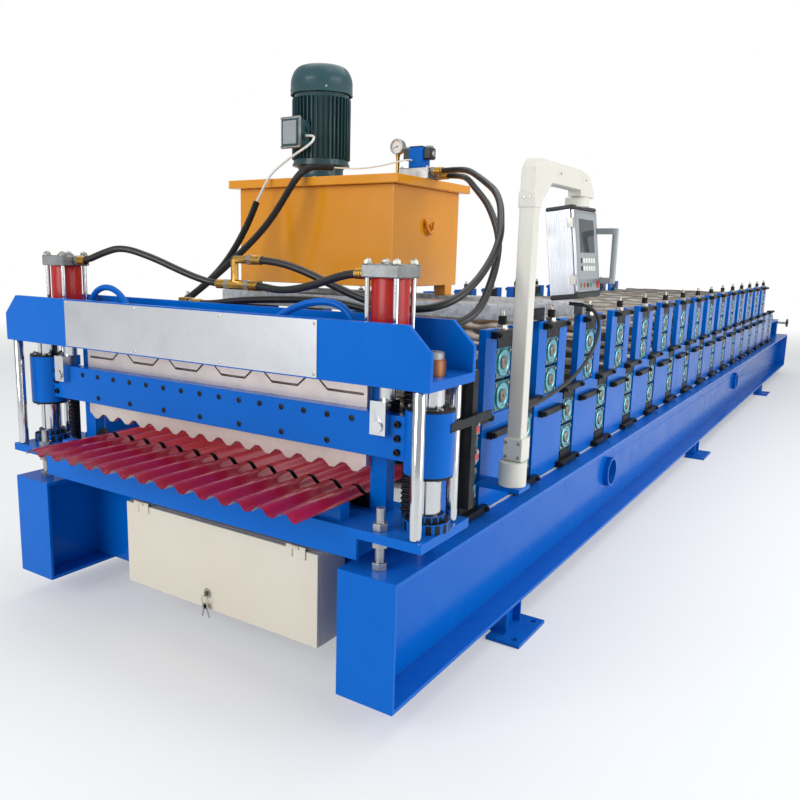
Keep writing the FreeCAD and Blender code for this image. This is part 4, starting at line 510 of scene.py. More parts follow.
class Piece:
    """One mesh piece while it is being built, in millimetres of the drawing."""

    def __init__(self, name: str, finish: str) -> None:
        """Start an empty piece.

        Args:
            name: the piece's name.
            finish: key of the finish of its first faces.
        """
        self.name = name
        self.mesh = bmesh.new()
        self.finishes = [finish]
        self.current = 0

    def dress(self, finish: str) -> "Piece":
        """Give the faces that are added next another finish.

        Args:
            finish: key of the finish.

        Returns:
            The piece itself.
        """
        if finish not in self.finishes:
            self.finishes.append(finish)
        self.current = self.finishes.index(finish)
        return self

    def point(self, x: float, y: float, z: float) -> bmesh.types.BMVert:
        """Add a vertex at a point of the drawing."""
        return self.mesh.verts.new(Vector((x, y, z)))

    def face(self, corners: Sequence[bmesh.types.BMVert]) -> None:
        """Add a face with the current finish."""
        self.mesh.faces.new(corners).material_index = self.current

    def strips(self, rings: Sequence[Sequence[bmesh.types.BMVert]], closed: bool = True,
               turned_over: bool = False) -> None:
        """Join each row of vertices to the next one with four-sided faces.

        Args:
            rings: the rows, all of the same count.
            closed: whether each row joins its own ends.
            turned_over: whether the faces look the other way.
        """
        for lower, upper in zip(rings, rings[1:]):
            count = len(lower)
            for i in range(count if closed else count - 1):
                j = (i + 1) % count
                first, last = (upper[i], lower[j]) if turned_over else (lower[j], upper[i])
                self.face([lower[i], first, upper[j], last])

    def block(self, low: Point, high: Point, edge: float = 2.0, turn: Matrix | None = None) -> "Piece":
        """Add a block with chamfered edges.

        Args:
            low: its lowest corner.
            high: its highest corner.
            edge: width of the chamfer.
            turn: optional rotation about the block's middle.

        Returns:
            The piece itself.
        """
        middle = (Vector(low) + Vector(high)) / 2
        half = (Vector(high) - Vector(low)) / 2
        edge = min(edge, min(half) * 0.9)
        points: dict[tuple[int, int, int, int], bmesh.types.BMVert] = {}
        signs = (-1, 1)
        for *corner, flat in product(signs, signs, signs, range(3)):
            insets = [0 if i == flat else edge for i in range(3)]
            local = Vector([s * (h - inset) for s, h, inset in zip(corner, half, insets)])
            local = turn @ local if turn else local
            points[(*corner, flat)] = self.mesh.verts.new(middle + local)
        # Six flat sides
        for flat, s in product(range(3), signs):
            ring = []
            for a, b in ((-1, -1), (1, -1), (1, 1), (-1, 1)):
                key = [0, 0, 0]
                key[flat], key[(flat + 1) % 3], key[(flat + 2) % 3] = s, a, b
                ring.append(points[(*key, flat)])
            self.face(ring if s > 0 else ring[::-1])
        # Twelve chamfers
        for along, a, b in product(range(3), signs, signs):
            first, second = (along + 1) % 3, (along + 2) % 3
            ends = []
            for s in signs:
                key = [0, 0, 0]
                key[along], key[first], key[second] = s, a, b
                ends.append(key)
            ring = [points[(*ends[0], first)], points[(*ends[1], first)],
                    points[(*ends[1], second)], points[(*ends[0], second)]]
            self.face(ring if a * b < 0 else ring[::-1])
        # Eight corners
        for corner in product(signs, repeat=3):
            ring = [points[(*corner, flat)] for flat in range(3)]
            self.face(ring if math.prod(corner) > 0 else ring[::-1])
        return self

    def turned(self, centre: Point, axis: Axis | Vector, profile: Profile, steps: int = 24) -> "Piece":
        """Add a turned form: a profile of radius and height swept round an axis.

        Args:
            centre: where height 0 lies on the axis.
            axis: the axis, or a direction.
            profile: radius and height of each point, from the bottom up.
            steps: sides round the axis.

        Returns:
            The piece itself.
        """
        along = axis if isinstance(axis, Vector) else Vector([float(i == axis.value) for i in range(3)])
        spin = along.normalized().to_track_quat("Z", "Y").to_matrix()
        rings = []
        for radius, height in profile:
            spots = circle(steps, radius) if radius else [(0.0, 0.0)]
            rings.append([self.mesh.verts.new(Vector(centre) + spin @ Vector((*spot, height)))
                          for spot in spots])
        for lower, upper in zip(rings, rings[1:]):
            for i in range(steps):
                j = (i + 1) % steps
                if len(lower) == 1 and len(upper) == 1:
                    continue
                if len(lower) == 1:
                    self.face([lower[0], upper[j], upper[i]][::-1])
                elif len(upper) == 1:
                    self.face([lower[i], lower[j], upper[0]])
                else:
                    self.face([lower[i], lower[j], upper[j], upper[i]])
        return self

    def slab(self, outline: Profile, axis: Axis, low: float, high: float) -> "Piece":
        """Add a flat plate cut to an outline.

        Args:
            outline: its corners in the other two axes, in X, Y, Z order.
            axis: the direction of its thickness.
            low: where it starts.
            high: where it ends.

        Returns:
            The piece itself.
        """
        rings = []
        for level in (low, high):
            ring = []
            for a, b in outline:
                rest = [a, b]
                point = [level if i == axis.value else rest.pop(0) for i in range(3)]
                ring.append(self.mesh.verts.new(Vector(point)))
            rings.append(ring)
        self.face(rings[0][::-1])
        self.face(rings[1])
        self.strips(rings)
        return self

    def hex_bolt(self, seat: Point, axis: Axis | Vector, flats: float, height: float | None = None,
                 washer: bool = True) -> "Piece":
        """Add a hexagon bolt head or nut on its washer.

        Args:
            seat: middle of the face that it sits on.
            axis: direction away from that face.
            flats: width across flats.
            height: height of the head, or two thirds of the flats.
            washer: whether a washer lies under it.

        Returns:
            The piece itself.
        """
        tall = height or flats * 0.62
        base = 0.0
        if washer:
            base = flats * 0.12
            self.turned(seat, axis, [(flats * 0.72, 0), (flats * 0.72, base), (0, base)], 16)
        corner = flats / math.sqrt(3)
        return self.turned(seat, axis, [(corner, base), (corner, base + tall * 0.86),
                                        (corner * 0.84, base + tall), (0, base + tall)], 6)

    def cap_screw(self, seat: Point, axis: Axis | Vector, diameter: float,
                  height: float | None = None) -> "Piece":
        """Add a socket head screw.

        Args:
            seat: middle of the face that it sits on.
            axis: direction away from that face.
            diameter: head diameter.
            height: height of the head, or two thirds of the diameter.

        Returns:
            The piece itself.
        """
        r, tall = diameter / 2, height or diameter * 0.62
        return self.turned(seat, axis, [(r, 0), (r, tall * 0.85), (r * 0.88, tall), (r * 0.5, tall),
                                        (r * 0.44, tall * 0.45), (0, tall * 0.45)], 12)

    def tube(self, points: Sequence[Vector], radii: Sequence[float], sides: int = 8) -> "Piece":
        """Add a tube along points, each with its own radius.

        Args:
            points: middle line, in millimetres of the drawing.
            radii: radius at each point.
            sides: sides round the tube.

        Returns:
            The piece itself.
        """
        rings = []
        across = None
        for index, point in enumerate(points):
            along = (points[min(index + 1, len(points) - 1)] - points[max(index - 1, 0)]).normalized()
            if across is None:
                across = along.orthogonal().normalized()
            across = (across - along * across.dot(along)).normalized()
            over = along.cross(across)
            rings.append([self.mesh.verts.new(point + across * a + over * b)
                          for a, b in circle(sides, radii[index])])
        self.strips(rings)
        self.face(rings[0][::-1])
        self.face(rings[-1])
        return self

    def done(self, body: str, replaces: Iterable[str] = (), angle: float = 38.0,
             bevel: float = 0.0) -> bpy.types.Object:
        """Close the piece, put it in the scene and let it ride on its body.

        Args:
            body: name of the CAD body that carries it.
            replaces: CAD nodes that it stands for.
            angle: turn between faces that stays a sharp edge.
            bevel: optional rounding of its edges.

        Returns:
            The object.
        """
        bmesh.ops.transform(self.mesh, matrix=Matrix.Translation((0, BEAM_FRONT, 0)) @ Matrix.Scale(MM, 4),
                            verts=self.mesh.verts)
        data = bpy.data.meshes.new(self.name)
        self.mesh.to_mesh(data)
        self.mesh.free()
        for key in self.finishes:
            data.materials.append(finish_of(key))
        return put_in_scene(self.name, data, body, replaces, angle, bevel)


def put_in_scene(name: str, data: bpy.types.Mesh, body: str, replaces: Iterable[str],
                 angle: float, bevel: float) -> bpy.types.Object:
    """Make an object of a finished mesh, round its edges and let it ride.

    Args:
        name: the object's name.
        data: its mesh.
        body: name of the CAD body that carries it.
        replaces: CAD nodes that it stands for.
        angle: turn between faces that stays a sharp edge.
        bevel: rounding of its edges in millimetres, or 0.

    Returns:
        The object.
    """
    smooth_by_angle(data, angle)
    piece = bpy.data.objects.new(name, data)
    bpy.context.scene.collection.objects.link(piece)
    if bevel:
        rounding = piece.modifiers.new("rounded_edges", "BEVEL")
        rounding.width = bevel * MM
        rounding.segments = 2
        rounding.limit_method = "ANGLE"
        rounding.angle_limit = math.radians(angle)
        rounding.harden_normals = True
        rounding.use_clamp_overlap = True
    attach(piece, body)
    if replaces:
        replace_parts(piece, *replaces)
    log.info("%s: %d faces, rides on %s", name, len(data.polygons), body)
    return piece


def softened(node: str, finish: str, edge: float = 2.0) -> bpy.types.Object:
    """Build a rounded and painted piece on the form of a CAD node, for the node's own body.

    Args:
        node: the CAD node.
        finish: key of its finish.
        edge: rounding of its edges.

    Returns:
        The object.
    """
    name = node + "_dressed"
    form = bmesh.new()
    form.from_mesh(frame["nodes"][node].data)
    bmesh.ops.remove_doubles(form, verts=form.verts, dist=WELD_GAP_MM * MM)
    bmesh.ops.dissolve_limit(form, angle_limit=math.radians(FLAT_DEGREES), verts=form.verts, edges=form.edges)
    data = bpy.data.meshes.new(name)
    form.to_mesh(data)
    form.free()
    data.materials.clear()
    data.materials.append(finish_of(finish))
    return put_in_scene(name, data, BODY_OF[node], [node], EDGE_DEGREES, edge)


def bead(piece: Piece, start: Vector, end: Vector, radius: float, ripple: float = 5.0) -> None:
    """Add a weld bead whose ripples follow each other at a welder's step.

    Args:
        piece: the piece that it is added to.
        start: where the bead begins.
        end: where it ends.
        radius: its half width.
        ripple: length of one ripple.
    """
    count = max(4, int((end - start).length / ripple))
    points, radii = [], []
    for index in range(count + 1):
        share = index / count
        sway = noise.noise(Vector((share * count * 0.37, start.y * 0.01, start.z))) * radius * 0.25
        points.append(start.lerp(end, share))
        radii.append(radius * (1.0 + 0.22 * (index % 2)) + sway)
    piece.tube(points, radii, 6)


# Sub-assemblies


@dataclass
class Assembly:
    """A group of pieces that are built and dressed together."""

    body: str = "machine"

    def build(self) -> None:
        """Build every piece of the group; each group says how."""
        raise NotImplementedError


@dataclass
class BaseFrame(Assembly):
    """Two H-section base beams, the channels between them and their feet."""

    beam_edge: float = 3.0
    foot_places: tuple[float, ...] = (769.0, 3701.0, 6633.0)
    plate_top: float = 12.0
    half_width: float = 785.0
    beam_bottom: float = 84.0
    stub_half: float = 62.0
    weld_inner: float = 56.0
    weld_outer: float = 2.0
    weld_lift: float = 2.0
    weld_radius: float = 4.0

    def build(self) -> None:
        """Round and paint the beams, members and feet, then lay the welds at the feet."""
        for node in ("left_base_beam", "right_base_beam"):
            softened(node, "machine_blue", self.beam_edge)
        softened("cross_members", "machine_blue", 1.5)
        softened("support_feet", "machine_blue", 1.5)
        self.foot_welds()

    def foot_welds(self) -> None:
        """Lay a painted fillet weld round each stub where it meets its plate and the beam."""
        welds = Piece("foot_welds", "machine_blue")
        for side in Side:
            inner = side.value * (self.half_width - self.weld_inner)
            outer = side.value * (self.half_width - self.weld_outer)
            levels = (self.plate_top + self.weld_lift, self.beam_bottom - self.weld_lift)
            for y, level, end in product(self.foot_places, levels, (-1, 1)):
                at = y + end * self.stub_half
                bead(welds, Vector((inner, at, level)), Vector((outer, at, level)), self.weld_radius)
        welds.done(self.body)


@dataclass
class StationRow(Assembly):
    """Wall plates with a bearing pair in every station of both layers."""

    wall_outer: float = 712.0
    wall_thickness: float = 25.0
    pitch: float = 424.0
    lower_first: float = 530.0
    lower_count: int = 17
    upper_first: float = 747.0
    upper_count: int = 15
    lower_pass: float = 593.0
    upper_pass: float = 843.0
    spacing: float = 106.0
    block_height: float = 98.0
    screw_y: float = 48.0
    screw_z: float = 37.0
    cover: Profile = ((43, -1), (43, 3.0), (41, 5.0), (33, 5.0), (31, 3.2), (22, 3.2))
    shaft_end: Profile = ((22, 1.0), (22, 6.0), (20, 8.0), (5, 8.0), (3, 4.0), (0, 3.0))
    adjuster_tip: Profile = ((7, 0), (7, 16), (5.5, 18), (0, 18))
    adjuster_height: float = 42.0
    drops: tuple[float, float] = (51.0, 73.0)
    clamp_inset: float = 14.0
    recess: float = 4.0
    clamp_half: float = 106.0
    clamp_depth: float = 20.0
    beam_top: float = 434.0
    plate_width: float = 282.0
    packing: float = 56.0
    bar_height: float = 22.0
    weld_lift: float = 1.5
    weld_inset: float = 8.0
    weld_radius: float = 3.4
    weld_ripple: float = 7.0

    def build(self) -> None:
        """Dress the plates, then add covers, screws, nuts and welds to each side."""
        for side in Side:
            name = side.name.lower()
            softened(name + "_wall_plates", "machine_blue", 1.5)
            softened(name + "_bearing_blocks", "cartridge", 2.0)
            self.covers(side)
            self.fasteners(side)
            self.welds(side)
        softened("clamp_bars", "black_steel", 1.2)

    def stations(self) -> list[tuple[float, float, int]]:
        """List every station's place, pass line and layer (0 lower, 1 upper)."""
        lower = [(self.lower_first + self.pitch * i, self.lower_pass, 0) for i in range(self.lower_count)]
        upper = [(self.upper_first + self.pitch * i, self.upper_pass, 1) for i in range(self.upper_count)]
        return lower + upper

    def covers(self, side: Side) -> None:
        """Add the round cover, the shaft's end and four screws to every block.

        Args:
            side: the side of the machine.
        """
        covers = Piece(side.name.lower() + "_bearing_covers", "cover_ring")
        face = side.value * (self.wall_outer - self.recess)
        outward = Vector((side.value, 0, 0))
        for y, level, _ in self.stations():
            for sign in (-1, 1):
                z = level + sign * self.spacing / 2
                # The covers' paler cyan finish carries a painted reflection
                covers.dress("cover_ring").turned((face, y, z), outward, self.cover, 24)
                covers.dress("roll_steel").turned((face, y, z), outward, self.shaft_end, 16)
                covers.dress("zinc_bolt")
                for dy, dz in product((-1, 1), repeat=2):
                    covers.cap_screw((face, y + dy * self.screw_y, z + dz * self.screw_z), outward, 11, 4)
        covers.done(self.body)

    def fasteners(self, side: Side) -> None:
        """Add the socket screws of the clamp bars and the nuts of the adjusting screws.

        Args:
            side: the side of the machine.
        """
        screws = Piece(side.name.lower() + "_clamp_screws", "black_steel")
        outward = Vector((side.value, 0, 0))
        face = side.value * (self.wall_outer + self.clamp_depth)
        middle = side.value * (self.wall_outer - self.wall_thickness / 2)
        for y, level, layer in self.stations():
            top = level + self.spacing / 2 + self.block_height / 2
            low = level - self.spacing / 2 - self.block_height / 2
            levels = (top + self.packing - self.bar_height / 2, low - self.drops[layer] + self.bar_height / 2)
            for z, end in product(levels, (-1, 1)):
                screws.cap_screw((face, y + end * (self.clamp_half - self.clamp_inset), z), outward, 17, 9)
            if layer:
                head = top + self.packing
                screws.dress("zinc_bolt").hex_bolt((middle, y, head), Axis.Z, 30, 12)
                screws.turned((middle, y, head + self.adjuster_height), Axis.Z, self.adjuster_tip, 10)
                screws.dress("black_steel")
        screws.done(self.body)

    def welds(self, side: Side) -> None:
        """Lay the primed weld at the foot of every wall plate.

        Args:
            side: the side of the machine.
        """
        seams = Piece(side.name.lower() + "_wall_welds", "weld")
        x = side.value * (self.wall_outer + self.weld_lift)
        half = self.plate_width / 2 - self.weld_inset
        for index in range(self.upper_count + 1):
            y = self.upper_first + index * self.pitch
            z = self.beam_top + self.weld_lift
            bead(seams, Vector((x, y - half, z)), Vector((x, y + half, z)), self.weld_radius,
                 self.weld_ripple)
        seams.done(self.body)


@dataclass
class RollLayers(Assembly):
    """Shafts with turned forming rings, whose waves deepen from the entry to the shear."""

    stations: StationRow = field(default_factory=StationRow)
    radius: float = 49.0
    reach: float = 664.0
    half_width: float = 546.0
    waves: int = 14
    wave_depth: float = 9.0
    ribs: int = 5
    rib_depth: float = 14.0
    hub: float = 30.0

    def build(self) -> None:
        """Turn both layers' rolls."""
        row = self.stations
        self.layer("lower", row.lower_first, row.lower_count, row.lower_pass, self.wave)
        self.layer("upper", row.upper_first, row.upper_count, row.upper_pass, self.rib)

    def wave(self, x: float) -> float:
        """Height of the corrugated form at a place across the machine, from 0 to 1."""
        return 0.5 + 0.5 * math.cos(math.tau * x * self.waves / (2 * self.half_width))

    def rib(self, x: float) -> float:
        """Height of the trapezoidal form at a place across the machine, from 0 to 1."""
        pitch = 2 * self.half_width / self.ribs
        away = abs((x / pitch + 0.5) % 1.0 - 0.5) * pitch
        return min(1.0, max(0.0, (52.0 - away) / 30.0))

    def layer(self, name: str, first: float, count: int, level: float,
              form: Callable[[float], float]) -> None:
        """Turn the rolls of one layer.

        Args:
            name: the layer's name.
            first: place of its first station.
            count: number of its stations.
            level: height of its pass line.
            form: height of the strip's form across the machine, from 0 to 1.
        """
        rolls = Piece(name + "_forming_rolls", "roll_steel")
        depth = self.wave_depth if form == self.wave else self.rib_depth
        steps = 56 if form == self.wave else 40
        for index in range(count):
            share = 1.0 - 0.8 * index / max(1, count - 1)
            y = first + index * self.stations.pitch
            for sign in (-1, 1):
                z = level + sign * self.stations.spacing / 2
                profile = [(0, -self.reach), (self.hub, -self.reach), (self.hub, -self.half_width - 18),
                           (self.radius - 8, -self.half_width - 18)]
                for step in range(steps + 1):
                    x = -self.half_width + 2 * self.half_width * step / steps
                    high = form(x) * depth * share
                    valley = self.radius - depth * share
                    profile.append((valley + high if sign < 0 else self.radius - high, x))
                profile += [(self.radius - 8, self.half_width + 18), (self.hub, self.half_width + 18),
                            (self.hub, self.reach), (0, self.reach)]
                rolls.turned((0, y, z), Axis.X, profile, 14)
        rolls.done(self.body, [name + "_layer_rolls"], angle=50.0)


# Hoses and cables: the control points of their lines, as in the drawing

LEFT_CAP_HOSE = [(-601, 149, 1184), (-545, 149, 1184), (-468, 153, 1210), (-385, 168, 1232),
                 (-274, 200, 1199), (-196, 224, 1166), (-125, 246, 1139), (-62, 260, 1124), (0, 260, 1124)]
RIGHT_CAP_HOSE = [(66, 260, 1124), (126, 260, 1124), (200, 248, 1114), (290, 228, 1121), (390, 198, 1141),
                  (475, 168, 1162), (543, 149, 1174), (601, 149, 1174)]
RETURN_HOSE = [(80, 260, 1200), (142, 260, 1200), (225, 262, 1190), (305, 264, 1167), (393, 267, 1134),
               (480, 276, 1102), (555, 290, 1084), (620, 300, 1078), (674, 326, 1083), (712, 372, 1100),
               (731, 432, 1131), (736, 510, 1176), (735, 590, 1237), (722, 650, 1289), (698, 700, 1332),
               (665, 765, 1385), (610, 840, 1433), (540, 910, 1468), (470, 985, 1499), (405, 1060, 1523),
               (349, 1117, 1535), (287, 1160, 1541), (230, 1178, 1542), (184, 1178, 1542)]
SUPPLY_HOSE = [(184, 1222, 1528), (238, 1222, 1528), (290, 1203, 1523), (334, 1163, 1514),
               (368, 1118, 1503), (410, 1060, 1487), (460, 990, 1462), (515, 925, 1432), (575, 862, 1393),
               (628, 798, 1345), (672, 738, 1300), (703, 682, 1262), (725, 628, 1228), (743, 575, 1187),
               (755, 520, 1143), (762, 470, 1100), (760, 424, 1068), (741, 377, 1045), (703, 337, 1034),
               (653, 312, 1035), (599, 304, 1046), (540, 300, 1060), (478, 298, 1073), (410, 297, 1083),
               (330, 298, 1088), (240, 299, 1087), (150, 298, 1083), (60, 296, 1078), (-25, 294, 1070),
               (-90, 291, 1060), (-150, 290, 1056), (-206, 290, 1056)]
MOTOR_LEAD = [(-333, 1060, 1690), (-307, 1060, 1690), (-283, 1050, 1682), (-273, 1031, 1665),
              (-280, 1012, 1646), (-302, 998, 1628), (-332, 987, 1609), (-361, 973, 1587),
              (-384, 954, 1562), (-400, 930, 1536), (-410, 908, 1503), (-420, 888, 1460),
              (-428, 868, 1420)]
MOTOR_CONDUIT = [(-428, 868, 1420), (-438, 846, 1362), (-453, 818, 1300), (-470, 782, 1232),
                 (-494, 740, 1165), (-530, 695, 1105), (-577, 640, 1045), (-620, 584, 998),
                 (-653, 530, 950), (-674, 473, 902), (-680, 440, 846), (-680, 440, 790)]
VALVE_LEAD = [(105, 1166, 1585), (105, 1140, 1585), (96, 1116, 1580), (70, 1098, 1572), (25, 1087, 1562),
              (-35, 1080, 1555), (-98, 1076, 1553), (-156, 1071, 1557), (-206, 1066, 1562)]
VALVE_CONDUIT = [(-206, 1066, 1562), (-220, 1024, 1563), (-228, 978, 1558), (-231, 934, 1546),
                 (-236, 892, 1518), (-250, 862, 1472), (-272, 838, 1416), (-303, 812, 1352),
                 (-345, 780, 1287), (-392, 744, 1227), (-441, 706, 1168), (-493, 665, 1109),
                 (-545, 618, 1051), (-586, 564, 1002), (-618, 514, 952), (-636, 472, 900),
                 (-642, 440, 846), (-642, 440, 790)]
CONSOLE_LEAD = [(797, 1072, 1072.5), (836, 1072, 1072.5), (873, 1069, 1063), (901, 1058, 1039),
                (915, 1037, 1006), (920, 1006, 968), (919, 966, 928), (911, 918, 886), (892, 866, 848),
                (866, 815, 815), (838, 762, 788), (812, 708, 768), (812, 663, 768)]
LEFT_FOOT_PIPE = [(-601, 149, 950), (-568, 149, 950), (-545, 149, 985), (-533, 148, 1036),
                  (-502, 146, 1084), (-446, 143, 1103), (-388, 138, 1095), (-338, 131, 1066),
                  (-300, 122, 1022), (-300, 122, 985)]
RIGHT_FOOT_PIPE = [(601, 149, 950), (577, 149, 950), (561, 149, 975), (556, 148, 1025), (536, 147, 1068),
                   (495, 145, 1095), (435, 141, 1098), (372, 135, 1083), (310, 128, 1052),
                   (268, 121, 1018), (268, 121, 985)]


class Far(Enum):
    OBJECT = "object"


@dataclass(frozen=True)
class Line:
    """One free line: its route and what a maker knows of it."""

    name: str
    node: str
    route: list[Point]
    diameter: float
    length: float
    finish: str
    slot: str
    stiffness: str
    body: str = "machine"
    corrugated: bool = False
    from_end: bool = False


@dataclass
class HoseSet(Assembly):
    """Hydraulic hoses with pressed ferrules, cables in corrugated conduit and bent steel pipes."""

    hose: float = 22.0
    ferrule: float = 14.5
    ferrule_length: float = 52.0
    groove_depth: float = 1.4
    grooves: int = 4
    groove_pitch: float = 7.0
    union_nut: Profile = ((0, 0), (15.5, 0), (17, 1.5), (17, 15), (15, 17))
    pipe_nut: Profile = ((0, 0), (16, 0), (17, 1.5), (17, 20), (13, 25))
    pipe_step: float = 9.0
    rib_pitch: float = 5.0
    rib_depth: float = 2.0
    pipe: float = 20.0

    def build(self) -> None:
        """Lay every line, then its fittings."""
        for line in self.lines():
            self.lay(line)
        self.ferrules()
        self.pipes()
        softened("hose_fittings", "brass", 1.5)

    def lines(self) -> list[Line]:
        """List the free lines with their real lengths, in millimetres."""
        hose, rubber = self.hose, ("hose_rubber", "hose_rubber", "medium")
        soft = ("black_plastic", "limp")
        return [
            Line("left_cap_hose_line", "left_cap_hose", LEFT_CAP_HOSE, hose, 637, *rubber),
            Line("right_cap_hose_line", "right_cap_hose", RIGHT_CAP_HOSE, hose, 555, *rubber),
            Line("return_hose_line", "return_hose", RETURN_HOSE, hose, 1860, *rubber),
            Line("supply_hose_line", "supply_hose", SUPPLY_HOSE, hose, 2193, *rubber),
            Line("console_lead_line", "console_lead", CONSOLE_LEAD, 12, 629, "black_plastic", *soft, "arm"),
            Line("motor_lead_line", "motor_conduit", MOTOR_LEAD, 10, 425, "white_cable", *soft),
            Line("valve_lead_line", "valve_conduit", VALVE_LEAD, 6, 363, "white_cable", *soft),
            Line("motor_conduit_line", "motor_conduit", MOTOR_CONDUIT, 28, 831, "conduit", *soft,
                 corrugated=True, from_end=True),
            Line("valve_conduit_line", "valve_conduit", VALVE_CONDUIT, 28, 1164, "conduit", *soft,
                 corrugated=True, from_end=True),
        ]

    @staticmethod
    def spline(name: str, route: Sequence[Point], radius: float) -> bpy.types.Object:
        """Make the smooth line of a route as a curve.

        Args:
            name: the curve's name.
            route: control points in millimetres of the drawing.
            radius: half the line's thickness in metres, or 0 for a bare line.

        Returns:
            The curve object.
        """
        data = bpy.data.curves.new(name, "CURVE")
        data.dimensions = "3D"
        data.resolution_u = 8
        data.bevel_depth = radius
        data.bevel_resolution = 3
        data.use_fill_caps = True
        spline = data.splines.new("NURBS")
        spline.points.add(len(route) - 1)
        for control, point in zip(spline.points, route):
            control.co = (*place(*point), 1.0)
        spline.order_u = 3
        spline.use_endpoint_u = True
        curve = bpy.data.objects.new(name, data)
        bpy.context.scene.collection.objects.link(curve)
        return curve

    def lay(self, line: Line) -> None:
        """Args:
            line: the line.
        """
        if line.corrugated:
            path = self.points_along(line.route, self.rib_pitch / 2)
            if line.from_end:
                path = path[::-1]
            tube = Piece(line.name, line.finish)
            outer = line.diameter / 2
            tube.tube([self.drawn(p) for p in path],
                      [outer - self.rib_depth * (i % 2) for i in range(len(path))], 12)
            piece = tube.done(line.body, [line.node], angle=70.0)
            return
        piece = self.spline(line.name, line.route, line.diameter / 2 * MM)
        piece.data.materials.append(finish_of(line.finish))
        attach(piece, line.body)
        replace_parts(piece, line.node)
        log.info("%s: line of %d points, rides on %s", line.name, len(line.route), line.body)

    @staticmethod
    def drawn(point: Vector) -> Vector:
        """Turn a point of the frame back into millimetres of the drawing."""
        return Vector((point.x, point.y - BEAM_FRONT, point.z)) / MM

    def points_along(self, route: Sequence[Point], step: float) -> list[Vector]:
        """Read points at an even step from the smooth line of a route.

        Args:
            route: control points in millimetres of the drawing.
            step: distance between the points in millimetres.

        Returns:
            Points of the frame, in metres.
        """
        bare = self.spline("measured_line", route, 0.0)
        bare.data.use_fill_caps = False
        bare.data.resolution_u = 24
        mesh = bpy.data.meshes.new_from_object(bare)
        read = [vertex.co.copy() for vertex in mesh.vertices]
        bpy.data.meshes.remove(mesh)
        bpy.data.objects.remove(bare)
        points, carried = [read[0]], 0.0
        for before, after in zip(read, read[1:]):
            length = (after - before).length
            while carried + length >= step * MM:
                share = (step * MM - carried) / length
                before = before.lerp(after, share)
                points.append(before)
                length, carried = (after - before).length, 0.0
            carried += length
        points.append(read[-1])
        return points

    def ferrules(self) -> None:
        """Press a ferrule and a union nut on both ends of every hydraulic hose."""
        fittings = Piece("hose_ferrules", "zinc_bolt")
        for route in (LEFT_CAP_HOSE, RIGHT_CAP_HOSE, RETURN_HOSE, SUPPLY_HOSE):
            for end, inner in ((route[0], route[1]), (route[-1], route[-2])):
                along = (Vector(inner) - Vector(end)).normalized()
                fittings.dress("zinc_bolt").turned(end, along, self.union_nut, 6)
                r, groove = self.ferrule, self.ferrule - self.groove_depth
                profile = [(12, 15), (r, 17)]
                for index in range(self.grooves):
                    base = 20 + index * self.groove_pitch
                    profile += [(r, base), (groove, base + 1.5), (groove, base + 4), (r, base + 5.5)]
                profile += [(r, self.ferrule_length - 2), (11.4, self.ferrule_length)]
                fittings.dress("brass").turned(end, along, profile, 16)
        fittings.done(self.body)

    def pipes(self) -> None:
        """Bend the two rigid pipes to the feet of the cylinders and add their nuts."""
        pipes = Piece("cylinder_foot_pipes", "machine_blue")
        for route in (LEFT_FOOT_PIPE, RIGHT_FOOT_PIPE):
            path = [self.drawn(p) for p in self.points_along(route, self.pipe_step)]
            pipes.dress("machine_blue").tube(path, [self.pipe / 2] * len(path), 12)
            for end, inner in ((route[0], route[1]), (route[-1], route[-2])):
                along = (Vector(inner) - Vector(end)).normalized()
                pipes.dress("zinc_bolt").turned(end, along, self.pipe_nut, 6)
        pipes.done(self.body, ["foot_pipes"], angle=50.0)


